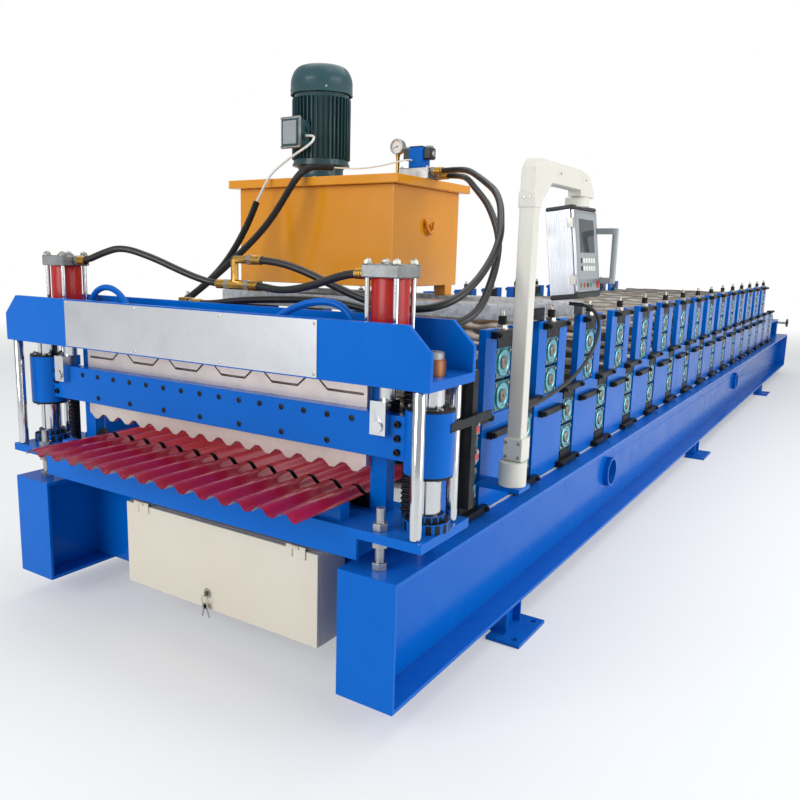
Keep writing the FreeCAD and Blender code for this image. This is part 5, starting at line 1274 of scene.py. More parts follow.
@dataclass
class ShearStand(Assembly):
    """Cut-off shear: table, columns, crossbeam with its blank plate, and the moving beam."""

    column_x: float = 782.0
    column_y: float = 149.0
    column_top: float = 991.0
    cross_front: float = 31.0
    cross_bottom: float = 908.0
    cross_top: float = 1063.0
    plate_left: float = -507.0
    plate_right: float = 516.0
    beam_front: float = 125.0
    beam_bottom: float = 706.0
    beam_top: float = 823.0
    beam_half: float = 655.0
    sleeve_low: float = 684.0
    sleeve_high: float = 846.0
    rod_x: float = 806.0
    rod_places: tuple[float, float] = (50.0, 236.0)
    rod_height: float = 370.0
    table_top: float = 538.0
    waves: int = 14
    sheet_left: float = -512.0
    sheet_right: float = 580.0
    sheet_middle: float = 592.5
    sheet_swing: float = 9.0
    sheet_half: float = 0.5
    flat: float = 16.0
    steps_a_wave: int = 24
    sheet_runs: tuple[tuple[float, float], ...] = ((-133.0, 164.3), (181.7, 466.0))
    plate_inset: float = 4.0
    plate_gap: float = 2.2
    plate_grid: tuple[int, int] = (40, 8)
    buckle: float = 1.6
    buckle_scale: tuple[float, float] = (0.011, 0.016)
    bow: float = 0.6
    rivet_inset: float = 9.0
    rivet: Profile = ((4.5, 0), (4.2, 1.4), (2.6, 2.3), (0, 2.6))
    bolt: Profile = ((8.5, 0), (8.5, 1.2), (7, 2), (3.6, 2), (3.2, 0.5), (0, 0.5))
    bolt_count: int = 15
    bolt_first: float = -560.0
    bolt_pitch: float = 80.0
    upper_row: float = 24.0
    lower_row: float = 22.0
    seal: Profile = ((62.5, -0.5), (62.5, 5), (60.5, 7), (38, 7), (36, 5), (36, -0.5))
    seal_circle: float = 51.0
    seat: Profile = ((60.6, 0), (60.6, 23), (58, 26.4), (45.6, 26.4), (45.6, 40), (43, 42.4), (35.6, 42.4))
    seat_circle: float = 52.5
    seat_top: float = 26.0
    collar: Profile = ((34.9, 0), (34.9, 38), (33, 41), (0, 41))
    collar_low: float = 933.0
    cap_low: float = 974.0

    def build(self) -> None:
        """Dress the stand, then add its sheet, plate, bolts, seals and column heads."""
        softened("shear_table", "machine_blue", 1.6)
        softened("crossbeam", "machine_blue", 2.0)
        softened("moving_beam", "machine_blue", 2.0)
        softened("guide_sleeves", "machine_blue", 1.5)
        softened("die_posts", "machine_blue", 2.0)
        # The lower die's blackened steel is painted shade: its face at the cut shows as a thin dark line
        # where the die sits in shadow
        softened("lower_die", "black_steel", 0.0)
        self.corrugated_sheet()
        self.blank_plate()
        self.beam_bolts()
        self.columns()
        self.corner_rods()

    def wave_height(self, x: float) -> float:
        """Height of the rolled wave at one place, from -1 in a valley to 1 on a crest.

        Args:
            x: place across the sheet, mm.

        Returns:
            A trapezoid with flat crests, its corners eased as the rolls ease them.
        """
        pitch = (self.sheet_right - self.sheet_left) / self.waves
        from_crest = abs((x - self.sheet_left) % pitch - pitch / 2)
        share = (from_crest - self.flat / 2) / (pitch / 2 - self.flat)
        share = min(max(share, 0.0), 1.0)
        eased = share * share * (3 - 2 * share)
        return 1 - share - eased

    def corrugated_sheet(self) -> None:
        """Roll the cut panel and the strip behind the shear: smooth waves, red above and grey below."""
        sheet = Piece("corrugated_panel", "sheet_red")
        steps = self.waves * self.steps_a_wave
        width = self.sheet_right - self.sheet_left
        for run, (lift, finish) in product(self.sheet_runs, ((self.sheet_half, "sheet_red"),
                                                             (-self.sheet_half, "sheet_back"))):
            sheet.dress(finish)
            rows = []
            for y in run:
                row = []
                for i in range(steps + 1):
                    x = self.sheet_left + width * i / steps
                    z = self.sheet_middle + self.sheet_swing * self.wave_height(x) + lift
                    row.append(sheet.point(x, y, z))
                rows.append(row)
            sheet.strips(rows, closed=False, turned_over=lift < 0)
        sheet.done(self.body, ["profiled_panel"], angle=60.0)

    def blank_plate(self) -> None:
        """Fix a bare metal plate over the crossbeam's front, buckled a little between its rivets."""
        plate = Piece("crossbeam_blank_plate", "aluminium")
        columns, rows = self.plate_grid
        left, right = self.plate_left, self.plate_right
        low, high = self.cross_bottom + self.plate_inset, self.cross_top - self.plate_inset
        grid = []
        for i in range(columns + 1):
            line = []
            for j in range(rows + 1):
                x = left + (right - left) * i / columns
                z = low + (high - low) * j / rows
                held = math.sin(math.pi * j / rows) * math.sin(math.pi * i / columns) ** 0.5
                spot = Vector((x * self.buckle_scale[0], z * self.buckle_scale[1], 3.0))
                out = noise.noise(spot) * self.buckle * held + held * self.bow
                line.append(plate.point(x, self.cross_front - self.plate_gap - out, z))
            grid.append(line)
        plate.strips(grid, closed=False, turned_over=True)
        plate.slab([(left, low), (right, low), (right, high), (left, high)], Axis.Y, self.cross_front - 1.0,
                   self.cross_front - 0.05)
        plate.dress("zinc_bolt")
        inset = self.rivet_inset
        for x, z in product((left + inset, -170, 180, right - inset), (low + inset, high - inset)):
            plate.turned((x, self.cross_front - 1.4, z), Vector((0, -1, 0)), self.rivet, 10)
        plate.done(self.body)

    def beam_bolts(self) -> None:
        """Bolt the blades to the moving beam in two rows, and the beam to its sleeves."""
        bolts = Piece("moving_beam_bolts", "black_steel")
        front = Vector((0, -1, 0))
        upper, lower = self.beam_top - self.upper_row, self.beam_bottom + self.lower_row
        for index in range(self.bolt_count):
            for z in (upper, lower)[:1 + index % 2]:
                at = (self.bolt_first + index * self.bolt_pitch, self.beam_front - 0.4, z)
                bolts.turned(at, front, self.bolt, 12)
        levels = (lower, (self.beam_bottom + self.beam_top) / 2, self.beam_top - self.lower_row)
        for side, z in product(Side, levels):
            bolts.cap_screw((side.value * (self.beam_half + 48), self.beam_front, z), front, 18, 9)
        bolts.done("shear_beam")
        seals = Piece("guide_sleeve_seals", "black_steel")
        for side, (level, way) in product(Side, ((self.sleeve_low, -1), (self.sleeve_high, 1))):
            x, y, up = side.value * self.column_x, self.column_y, Vector((0, 0, way))
            seals.dress("black_steel").turned((x, y, level), up, self.seal, 40)
            seals.dress("zinc_bolt")
            for dx, dy in circle(6, self.seal_circle, 0.5):
                seals.cap_screw((x + dx, y + dy, level + way * 7), up, 11, 5)
        seals.done("shear_beam")

    def columns(self) -> None:
        """Turn the two guide columns, with a bronze collar and a steel cap above the crossbeam."""
        posts = Piece("guide_column_rods", "chromed")
        seats = Piece("column_seat_bolts", "black_steel")
        tall = self.cross_bottom - self.table_top + 20
        cap = self.column_top - self.cap_low
        for side in Side:
            x, y = side.value * self.column_x, self.column_y
            posts.dress("chromed").turned((x, y, self.table_top), Axis.Z, [
                (0, 0), (34.6, 0), (34.9, 3), (34.9, tall)], 48)
            posts.dress("bronze").turned((x, y, self.collar_low), Axis.Z, self.collar, 40)
            posts.dress("plain_steel").turned((x, y, self.cap_low), Axis.Z, [
                (30, 0), (30, cap - 3), (27.5, cap), (9, cap), (8, cap - 6), (0, cap - 6)], 40)
            for dx, dy in circle(6, self.seat_circle):
                seats.cap_screw((x + dx, y + dy, self.table_top + self.seat_top), Axis.Z, 9, 5)
            seats.turned((x, y, self.table_top), Axis.Z, self.seat, 48)
        posts.done(self.body, ["guide_columns"])
        seats.done(self.body)

    def corner_rods(self) -> None:
        """Turn the four corner rods between the table and the crossbeam."""
        rods = Piece("corner_rod_bars", "chromed")
        tall = self.rod_height
        for side, y in product(Side, self.rod_places):
            rods.turned((side.value * self.rod_x, y, self.table_top), Axis.Z, [
                (0, 0), (13, 0), (15.9, 3), (15.9, tall - 4), (13, tall), (0, tall)], 32)
        rods.done(self.body, ["corner_rods"])


@dataclass
class Cylinders(Assembly):
    """Two hydraulic cylinders that push the moving beam: square caps, red barrels, tie rods with nuts."""

    x: float = 656.0
    y: float = 149.0
    barrel: float = 49.0
    low: float = 933.0
    low_top: float = 967.0
    high: float = 1166.0
    top: float = 1200.0
    half: float = 55.0
    inset: float = 13.0
    rod: float = 7.0
    nut: float = 19.0
    nut_height: float = 8.0
    boss: Profile = ((26, 0), (26, 4), (24, 5.5), (0, 5.5))
    rod_tip: Profile = ((6.4, 0), (6.4, 4.5), (5.2, 6), (0, 6))

    def build(self) -> None:
        """Build barrels, caps and rods."""
        barrels = Piece("cylinder_barrel_tubes", "cylinder_red")
        caps = Piece("cylinder_caps", "cylinder_red")
        for side in Side:
            x = side.value * self.x
            tall = self.high - self.low_top
            r, end = self.barrel, self.barrel - 1.5
            outline = [(end, 0), (r, 2), (r, tall - 2), (end, tall)]
            barrels.turned((x, self.y, self.low_top), Axis.Z, outline, 48)
            for low, high, coat in ((self.low, self.low_top, "cylinder_red"),
                                    (self.high, self.top, "cast_grey")):
                caps.dress(coat).block((x - self.half, self.y - self.half, low),
                                       (x + self.half, self.y + self.half, high), 3.0)
            caps.dress("cast_grey").turned((x, self.y, self.top), Axis.Z, self.boss, 32)
            for dx, dy in product((-1, 1), repeat=2):
                at = (x + dx * (self.half - self.inset), self.y + dy * (self.half - self.inset))
                caps.dress("chromed").turned((*at, self.low_top - 1), Axis.Z, [
                    (self.rod, 0), (self.rod, tall + 2)], 16)
                caps.dress("zinc_bolt").hex_bolt((*at, self.top), Axis.Z, self.nut, self.nut_height)
                caps.turned((*at, self.top + self.nut_height), Axis.Z, self.rod_tip, 12)
        barrels.done(self.body, ["cylinder_barrels"])
        caps.done(self.body, ["cylinder_heads"], angle=30.0)


@dataclass
class OilUnit(Assembly):
    """Oil tank with its lid, filler lug, pump motor, valve stack and pressure gauge."""

    motor_x: float = -372.0
    motor_y: float = 1214.0
    lid_top: float = 1514.0
    body_low: float = 1594.0
    body_high: float = 1870.0
    body_radius: float = 123.0
    core_radius: float = 108.0
    cowl_radius: float = 130.6
    cowl_top: float = 1984.0
    fins: int = 40
    box_low: Point = (-435.0, 1016.0, 1640.0)
    box_high: Point = (-333.0, 1105.0, 1764.0)
    lug: Point = (150.0, 1225.0, 1352.0)
    bell: Profile = ((125, 0), (125, 9), (123, 11), (100, 14), (94, 26), (94, 56), (104, 66), (121, 69),
                     (121, 77), (0, 77))
    bell_bolts: float = 112.0
    gland: Profile = ((14, 0), (14, 5), (11, 6), (11, 8), (12.5, 9), (12.5, 10), (5, 10))
    gland_places: tuple[tuple[float, float], ...] = ((1060.0, 1690.0), (1078.0, 1722.0))
    gauge_case: Profile = ((0, 0), (27, 0), (29.5, 2), (29.5, 25), (30, 26), (28.5, 27.5), (26, 27.5),
                           (26, 22))
    scale_marks: int = 25
    scale_start: float = 225.0
    scale_sweep: float = 270.0
    needle_angle: float = 200.0
    manifold_x: float = 117.0
    manifold_y: float = 1200.0
    gauge: Point = (19.0, 1200.0, 1644.0)

    def build(self) -> None:
        """Build tank, motor, valve and gauge."""
        softened("oil_tank", "tank_orange", 4.0)
        softened("tank_lid", "tank_orange", 3.0)
        softened("tank_channels", "galvanised", 2.0)
        self.filler_lug()
        self.motor()
        self.cowl()
        self.terminal_box()
        self.valve()
        self.gauge_head()

    def filler_lug(self) -> None:
        """Weld the lifting lug and its ring to the tank's right face."""
        lug = Piece("tank_lifting_lug", "tank_orange")
        x, y, z = self.lug
        outward = Vector((1, 0, 0))
        lug.block((x - 1, y - 34, z - 4), (x + 10, y + 34, z + 14), 3.0)
        lug.turned((x, y, z - 22), outward, [(30, -1), (30, 6), (27, 9), (17, 9), (15, 6), (15, -1)], 28)
        ring = [Vector((x + 12 + 3 * math.sin(math.pi * i / 24), y + 30 * math.cos(math.pi * i / 24),
                        z + 4 - 44 * math.sin(math.pi * i / 24))) for i in range(25)]
        lug.tube(ring, [6.5] * 25, 10)
        bead(lug, Vector((x + 1, y - 36, z - 5)), Vector((x + 1, y + 36, z - 5)), 3.0)
        lug.done(self.body)

    def motor(self) -> None:
        """Build the pump's bell and the motor's finned body."""
        at = (self.motor_x, self.motor_y)
        body = Piece("motor_finned_body", "motor_green")
        body.dress("dial_white").turned((*at, self.lid_top), Axis.Z, [(126, 0), (126, 3), (0, 3)], 48)
        body.dress("motor_green").turned((*at, self.lid_top + 3), Axis.Z, self.bell, 48)
        core, tall = self.core_radius, self.body_high - self.body_low
        body.turned((*at, self.body_low), Axis.Z, [
            (core + 8, 0), (core + 8, 14), (core, 18), (core, tall - 12), (core + 6, tall)], 64)
        half = Vector(((self.body_radius - core) / 2 + 1, 2.0, tall / 2 - 16))
        for index in range(self.fins):
            spin = Matrix.Rotation(math.tau * index / self.fins, 3, "Z")
            middle = spin @ Vector(((core + self.body_radius) / 2 - 1, 0, 0))
            centre = Vector((*at, (self.body_low + self.body_high) / 2 + 2)) + middle
            body.block(tuple(centre - half), tuple(centre + half), 1.4, spin)
        body.dress("zinc_bolt")
        for dx, dy in circle(8, self.bell_bolts, 0.5):
            body.hex_bolt((at[0] + dx, at[1] + dy, self.lid_top + 13), Axis.Z, 17, 8)
        body.done(self.body, ["motor_body"])

    def cowl(self) -> None:
        """Press the fan cowl: straight side, rounded shoulder and a grille on top."""
        at = (self.motor_x, self.motor_y)
        cowl = Piece("motor_fan_cowl", "motor_green")
        r, low, top = self.cowl_radius, self.body_high, self.cowl_top - self.body_high
        profile = [(r - 4, 0), (r - 4, -0.1), (r, 0.5), (r, 3), (r - 1.5, 5), (r - 1.5, 50)]
        for step in range(1, 11):
            share = step / 10
            profile.append((r - 1.5 - 46 * share ** 1.55, 50 + (top - 51) * math.sin(math.pi / 2 * share)))
        cowl.turned((*at, low), Axis.Z, profile + [(81, top - 0.6), (0, top - 0.6)], 64)
        cowl.dress("black_plastic")
        for ring in range(5):
            for dx, dy in circle(6 + 4 * ring, 16 + ring * 12):
                cowl.turned((at[0] + dx, at[1] + dy, self.cowl_top - 0.7), Axis.Z, [
                    (3.6, 0), (3.4, 0.3), (0, 0.3)], 8)
        cowl.dress("zinc_bolt")
        for dx, dy in circle(4, 1.0, 0.5):
            outward = Vector((dx, dy, 0))
            cowl.cap_screw(tuple(Vector((*at, low + 18)) + outward * (r - 2)), outward, 9, 2.4)
        cowl.done(self.body, ["fan_cowl"])

    def terminal_box(self) -> None:
        """Build the terminal box: cast flange, inset grey cover, corner screws and two cable glands."""
        (left, front, bottom), (right, rear, top) = self.box_low, self.box_high
        box = Piece("motor_terminal_box", "motor_green")
        # Inset on every side, front and rear from the box's face, chamfer
        for coat, inset, near, far, edge in (
                ("motor_green", 10, 22, rear - front, 6.0), ("motor_green", 3, 14, 24, 3.0),
                ("cast_grey", 0, 6, 15, 4.0), ("motor_green", 9, 1, 8, 3.0), ("grey_plastic", 17, 0, 2, 1.0)):
            box.dress(coat).block((left + inset, front + near, bottom + inset),
                                  (right - inset, front + far, top - inset), edge)
        box.dress("zinc_bolt")
        for x, z in product((left + 6.5, right - 6.5), (bottom + 6.5, top - 6.5)):
            box.cap_screw((x, front + 6, z), Vector((0, -1, 0)), 8, 4)
        box.dress("motor_green")
        for y, z in self.gland_places:
            box.turned((right - 10, y, z), Vector((1, 0, 0)), self.gland, 12)
        box.done(self.body, ["terminal_box"])

    def valve(self) -> None:
        """Stack the solenoid valve on its drilled manifold."""
        x, y = self.manifold_x, self.manifold_y
        block = Piece("valve_manifold_block", "plain_steel")
        block.block((x - 67, y - 45, self.lid_top), (x + 67, y + 45, self.lid_top + 42), 2.5)
        block.dress("zinc_bolt")
        for dx, dy in product((-1, 1), repeat=2):
            block.cap_screw((x + dx * 56, y + dy * 36, self.lid_top + 42), Axis.Z, 11, 6)
        block.done(self.body, ["valve_manifold"])
        valve = Piece("solenoid_valve", "machine_blue")
        top = self.lid_top + 126
        valve.dress("machine_blue").block((x - 30, y - 34, self.lid_top + 42), (x + 30, y + 34, top - 6), 4.0)
        for end in (-1, 1):
            near, far = sorted((x + end * 29, x + end * 62))
            valve.dress("black_plastic").block((near, y - 22, top - 52), (far, y + 22, top - 8), 5.0)
            valve.dress("plain_steel").turned((x + end * 61.5, y, top - 30), Vector((end, 0, 0)), [
                (12, 0), (12, 3.5), (9, 5), (0, 5)], 16)
            plug = x + end * 44
            valve.dress("grey_plastic").block((plug - 13, y - 14, top - 9), (plug + 13, y + 14, top), 3.0)
        valve.dress("black_steel").block((x - 28, y - 32, top - 7), (x + 28, y + 32, top - 2), 2.0)
        valve.done(self.body, ["directional_valve"])

    def gauge_head(self) -> None:
        """Build the pressure gauge: steel case, white dial with a scale of marks, needle and glass."""
        x, y, z = self.gauge
        front = Vector((0, -1, 0))
        gauge = Piece("pressure_gauge_head", "plain_steel")
        gauge.turned((x, y + 13, z), front, self.gauge_case, 40)
        gauge.dress("dial_white").turned((x, y + 13, z), front, [(26.2, 21.5), (0, 21.5)], 32)
        gauge.dress("black_plastic")
        for index in range(self.scale_marks):
            angle = math.radians(self.scale_start - index * self.scale_sweep / (self.scale_marks - 1))
            reach = 5.0 if index % 4 == 0 else 3.0
            spin = Matrix.Rotation(-angle, 3, "Y")
            centre = Vector((x, y - 8.8, z)) + spin @ Vector((23 - reach / 2, 0, 0))
            half = Vector((reach / 2, 0.3, 0.5))
            gauge.block(tuple(centre - half), tuple(centre + half), 0.1, spin)
        spin = Matrix.Rotation(-math.radians(self.needle_angle), 3, "Y")
        centre = Vector((x, y - 9.6, z)) + spin @ Vector((8, 0, 0))
        half = Vector((12, 0.3, 0.8))
        gauge.block(tuple(centre - half), tuple(centre + half), 0.2, spin)
        gauge.turned((x, y - 9.0, z), front, [(3, 0), (3, 1.5), (0, 1.5)], 12)
        gauge.dress("brass").turned((x, y, z - 29), Vector((0, 0, -1)), [
            (9, -2), (9, 8), (7, 9), (7, 86), (10, 87), (10, 89)], 12)
        gauge.turned((x, y, 1534), Axis.X, [(7, 0), (7, 31.5), (11, 31.5)], 12)
        gauge.done(self.body, ["pressure_gauge"])


@dataclass
class ElectricCabinet(Assembly):
    """Powder-coated cabinet under the shear, with a flush door, lock, keys and hinges."""

    lock: Point = (58.0, 88.0, 186.0)

    def build(self) -> None:
        """Dress the case and the door, then add the lock with its keys."""
        softened("cabinet_shell", "cabinet_beige", 1.2)
        softened("cabinet_door", "cabinet_beige", 2.5)
        x, y, z = self.lock
        front = Vector((0, -1, 0))
        lock = Piece("cabinet_lock", "zinc_bolt")
        lock.turned((x, y, z), front, [(15, 0), (15, 2), (13, 4), (9, 4), (8.5, 2.5), (0, 2.5)], 28)
        lock.dress("black_plastic").block((x - 1.2, y - 3.0, z - 5), (x + 1.2, y - 2.2, z + 5), 0.2)
        lock.dress("zinc_bolt").block((x - 1.1, y - 16, z - 8), (x + 1.1, y - 3, z + 8), 0.6)
        turns = [math.tau * i / 20 for i in range(21)]
        ring = [Vector((x + 14 * math.sin(turn), y - 13, z - 18 + 14 * math.cos(turn))) for turn in turns]
        lock.tube(ring, [1.1] * len(ring), 6)
        for tilt, shift in ((0.25, -3), (-0.35, 5)):
            spin = Matrix.Rotation(tilt, 3, "Y")
            head = Vector((x + shift, y - 13, z - 38))
            lock.turned(tuple(head - Vector((0, 1, 0))), Axis.Y, [(0, 0), (10, 0), (10, 2), (0, 2)], 16)
            blade = head + spin @ Vector((0, 0, -22))
            lock.block(tuple(blade - Vector((3, 1, 15))), tuple(blade + Vector((3, 1, 15))), 0.5, spin)
        lock.done("door")


@dataclass
class ConsoleArm(Assembly):
    """Extruded arm with cast corners that carries the operator's console on a swivel."""

    axis_x: float = 812.0
    column_y: float = 640.0
    shoe_low: float = 619.5
    shoe_high: float = 689.5
    top: float = 1502.0
    box_front: float = 1000.0
    box_rear: float = 1240.0
    box_depth: float = 96.0
    box_height: float = 305.0
    tilt: float = 7.0
    crown_x: float = 766.0
    crown_z: float = 1391.4

    def build(self) -> None:
        """Dress the arm and build the console on it."""
        softened("arm_bracket", "machine_blue", 1.5)
        softened("arm_base", "arm_beige", 2.0)
        softened("swing_arm", "arm_beige", 5.0)
        softened("console_coupling", "arm_beige", 2.0)
        softened("console_handle", "grey_plastic", 4.0)
        self.arm_details()
        self.console()

    def arm_details(self) -> None:
        """Add the clamp's four screws, a cast corner block and its set screws."""
        details = Piece("arm_castings", "arm_beige")
        y, x, half = self.column_y, self.axis_x, 31.0
        for z, dx in product((self.shoe_low + 14, self.shoe_high - 14), (-1, 1)):
            details.dress("zinc_bolt").cap_screw((x + dx * 20, y - half, z), Vector((0, -1, 0)), 9, 4)
        corner = self.top - 132
        details.dress("arm_beige").block((x - 26, y - 26, corner - 8), (x + 26, y + 26, corner + 40), 4.0)
        details.dress("zinc_bolt")
        for dx in (-1, 1):
            details.cap_screw((x + dx * 9, y - 26, corner + 22), Vector((0, -1, 0)), 8, 2)
        for index in range(2):
            details.cap_screw((x + 31, y + 150 + 230 * index, self.top - 31), Vector((1, 0, 0)), 8, 2)
        details.done("arm")

    def lean(self, across: float, along: float, down: float) -> Vector:
        """Turn a place in the leaning console into the drawing's millimetres.

        Args:
            across: from the middle of its top to the screen side.
            along: along the machine, on the drawing.
            down: below its top.

        Returns:
            The point.
        """
        angle = math.radians(self.tilt)
        return Vector((self.crown_x + across * math.cos(angle) + down * math.sin(angle), along,
                       self.crown_z + across * math.sin(angle) - down * math.cos(angle)))

    def panel(self, piece: Piece, across: tuple[float, float], along: tuple[float, float],
              down: tuple[float, float], edge: float) -> None:
        """Add a block that leans with the console.

        Args:
            piece: the piece that it is added to.
            across: its two sides, from the middle of the top to the screen side.
            along: its front and rear on the drawing.
            down: its top and bottom, below the console's top.
            edge: width of its chamfer.
        """
        spin = Matrix.Rotation(math.radians(-self.tilt), 3, "Y")
        middle = self.lean(sum(across) / 2, sum(along) / 2, sum(down) / 2)
        half = Vector(((across[1] - across[0]) / 2, (along[1] - along[0]) / 2, (down[1] - down[0]) / 2))
        piece.block(tuple(middle - half), tuple(middle + half), edge, spin)

    def console(self) -> None:
        """Build the ribbed aluminium case, its end caps, hinged door, screen and push buttons."""
        case = Piece("console_case", "aluminium")
        half = self.box_depth / 2
        front, rear, tall = self.box_front, self.box_rear, self.box_height
        self.panel(case, (-half, half - 12), (front + 1, rear - 1), (12, tall - 12), 2.0)
        for index in range(9):
            across = -half + 8 + index * 8.5
            self.panel(case, (across, across + 3.5), (front, front + 2.5), (14, tall - 14), 0.8)
        # Coat, across, inset from both ends, down, chamfer: two end caps, the door, its keypad and the screen
        for coat, across, inset, down, edge in (
                ("black_plastic", (-half, half - 2), 0, (0, 14), 4.0),
                ("black_plastic", (-half, half - 2), 0, (tall - 20, tall), 4.0),
                ("aluminium", (half - 11, half - 1), 4, (15, tall - 22), 2.0),
                ("grey_plastic", (half - 2, half - 0.5), 18, (26, tall - 62), 1.0),
                ("screen", (half - 1.5, half - 0.2), 44, (44, tall - 150), 0.4)):
            self.panel(case.dress(coat), across, (front + inset, rear - inset), down, edge)
        for row, column in product(range(2), range(6)):
            along = front + 44 + column * 26
            down = tall - 132 + row * 26
            case.dress("dial_white" if column else "black_plastic")
            self.panel(case, (half - 1, half - 0.1), (along, along + 18), (down, down + 16), 0.4)
        outward = Vector((math.cos(math.radians(self.tilt)), 0, math.sin(math.radians(self.tilt))))
        for index, look in enumerate(("green_plastic", "red_plastic", "black_plastic", "green_plastic")):
            at = self.lean(half - 4, front + 40 + index * 34, tall - 42)
            case.dress("zinc_bolt").turned(tuple(at), outward, [(12, 0), (12, 2.5), (10, 3)], 20)
            case.dress(look).turned(tuple(at), outward, [(9, 1), (9, 3.6), (7.5, 4), (0, 4)], 20)
        case.dress("zinc_bolt")
        for down in (58, tall - 62):
            self.panel(case, (half - 24, half - 4), (front - 0.5, front + 2.5), (down - 16, down + 16), 1.0)
        case.done("console", ["console_box"])
        stop = Piece("emergency_stop_button", "red_plastic")
        at = self.lean(half - 4, rear - 26, tall - 42)
        stop.dress("grey_plastic").turned(tuple(at), outward, [(14, 0), (14, 2), (11, 3)], 20)
        stop.dress("red_plastic").turned(tuple(at), outward, [
            (9, 1), (9, 3), (13, 3.2), (13.4, 4), (0, 4)], 24)
        stop.done("console")


@dataclass
class SwitchGear(Assembly):
    """Limit switches with their plungers, the flag that trips them and the switch rail."""

    switch_levels: tuple[float, float] = (698.0, 774.0)
    switch_front: float = 306.0
    switch_rear: float = 350.0
    plunger: Profile = ((6, 0), (6, 5), (4, 7.5), (0, 7.5))

    def build(self) -> None:
        """Dress the rail and build the two switches."""
        softened("switch_rail", "black_steel", 1.5)
        softened("switch_flag", "black_steel", 1.0)
        gear = Piece("limit_switch_bodies", "black_plastic")
        front, rear = self.switch_front, self.switch_rear
        for z in self.switch_levels:
            # Coat, sides, inset from front and rear, heights about the middle, chamfer: case, lid and seal
            for coat, sides, inset, heights, edge in (
                    ("cast_grey", (790.5, 826), 0.5, (-21.5, 15), 3.0),
                    ("black_plastic", (793, 824), 4, (13, 21.5), 2.0),
                    ("red_plastic", (825, 828), 8, (-14, 8), 1.0)):
                gear.dress(coat).block((sides[0], front + inset, z + heights[0]),
                                       (sides[1], rear - inset, z + heights[1]), edge)
            gear.dress("zinc_bolt").turned((826, (front + rear) / 2, z + 10), Axis.X, self.plunger, 12)
        gear.done(self.body, ["limit_switches"])


@dataclass
class EntryGuide(Assembly):
    """Entry table with upright guide rollers and a star handwheel on its spindle."""

    wheel_y: float = 8370.0
    wheel_z: float = 568.0
    wheel_face: float = 787.0
    wheel_radius: float = 45.0
    wheel_depth: float = 22.0
    roller: Profile = ((18, 0), (18, 4), (22, 4.5), (23, 6), (23, 53), (21.5, 55), (12, 55), (12, 52),
                       (0, 52))
    roller_nut: Profile = ((9, 0), (9, 8), (7.5, 9.8), (0, 9.8))
    roller_x: float = 620.0
    roller_places: tuple[float, ...] = (7740.0, 7980.0, 8220.0)
    table_top: float = 600.0

    def build(self) -> None:
        """Dress the table, turn the rollers and mould the handwheel."""
        softened("entry_table", "machine_blue", 1.5)
        rollers = Piece("entry_guide_rollers", "roll_steel")
        for side, y in product(Side, self.roller_places):
            at = (side.value * self.roller_x, y, self.table_top)
            rollers.dress("roll_steel").turned(at, Axis.Z, self.roller, 28)
            rollers.dress("zinc_bolt").turned((at[0], at[1], at[2] + 50), Axis.Z, self.roller_nut, 6)
        rollers.done(self.body, ["guide_rollers"])
        wheel = Piece("entry_star_wheel", "black_plastic")
        at = (680.0, self.wheel_y, self.wheel_z)
        wheel.dress("plain_steel").turned(at, Axis.X, [(0, 0), (12, 0), (12, 86)], 20)
        wheel.dress("black_plastic")
        outline = []
        for index in range(60):
            angle = math.tau * index / 60
            reach = self.wheel_radius - 7 + 7 * math.cos(angle * 5)
            outline.append((self.wheel_y + reach * math.cos(angle), self.wheel_z + reach * math.sin(angle)))
        wheel.slab(outline, Axis.X, self.wheel_face - self.wheel_depth, self.wheel_face - 4)
        wheel.turned((self.wheel_face - self.wheel_depth, *at[1:]), Axis.X, [
            (20, 0), (22, 4), (22, 18), (19, 21), (8, 21), (7, 19), (0, 19)], 24)
        wheel.done(self.body, ["entry_handwheel"], bevel=2.0)


@dataclass(frozen=True)
class Lamp:
    """One soft panel: its place and aim on the drawing, its width in metres and its power in watts."""

    name: str
    at: Point
    aim: Point
    width: float
    power: float


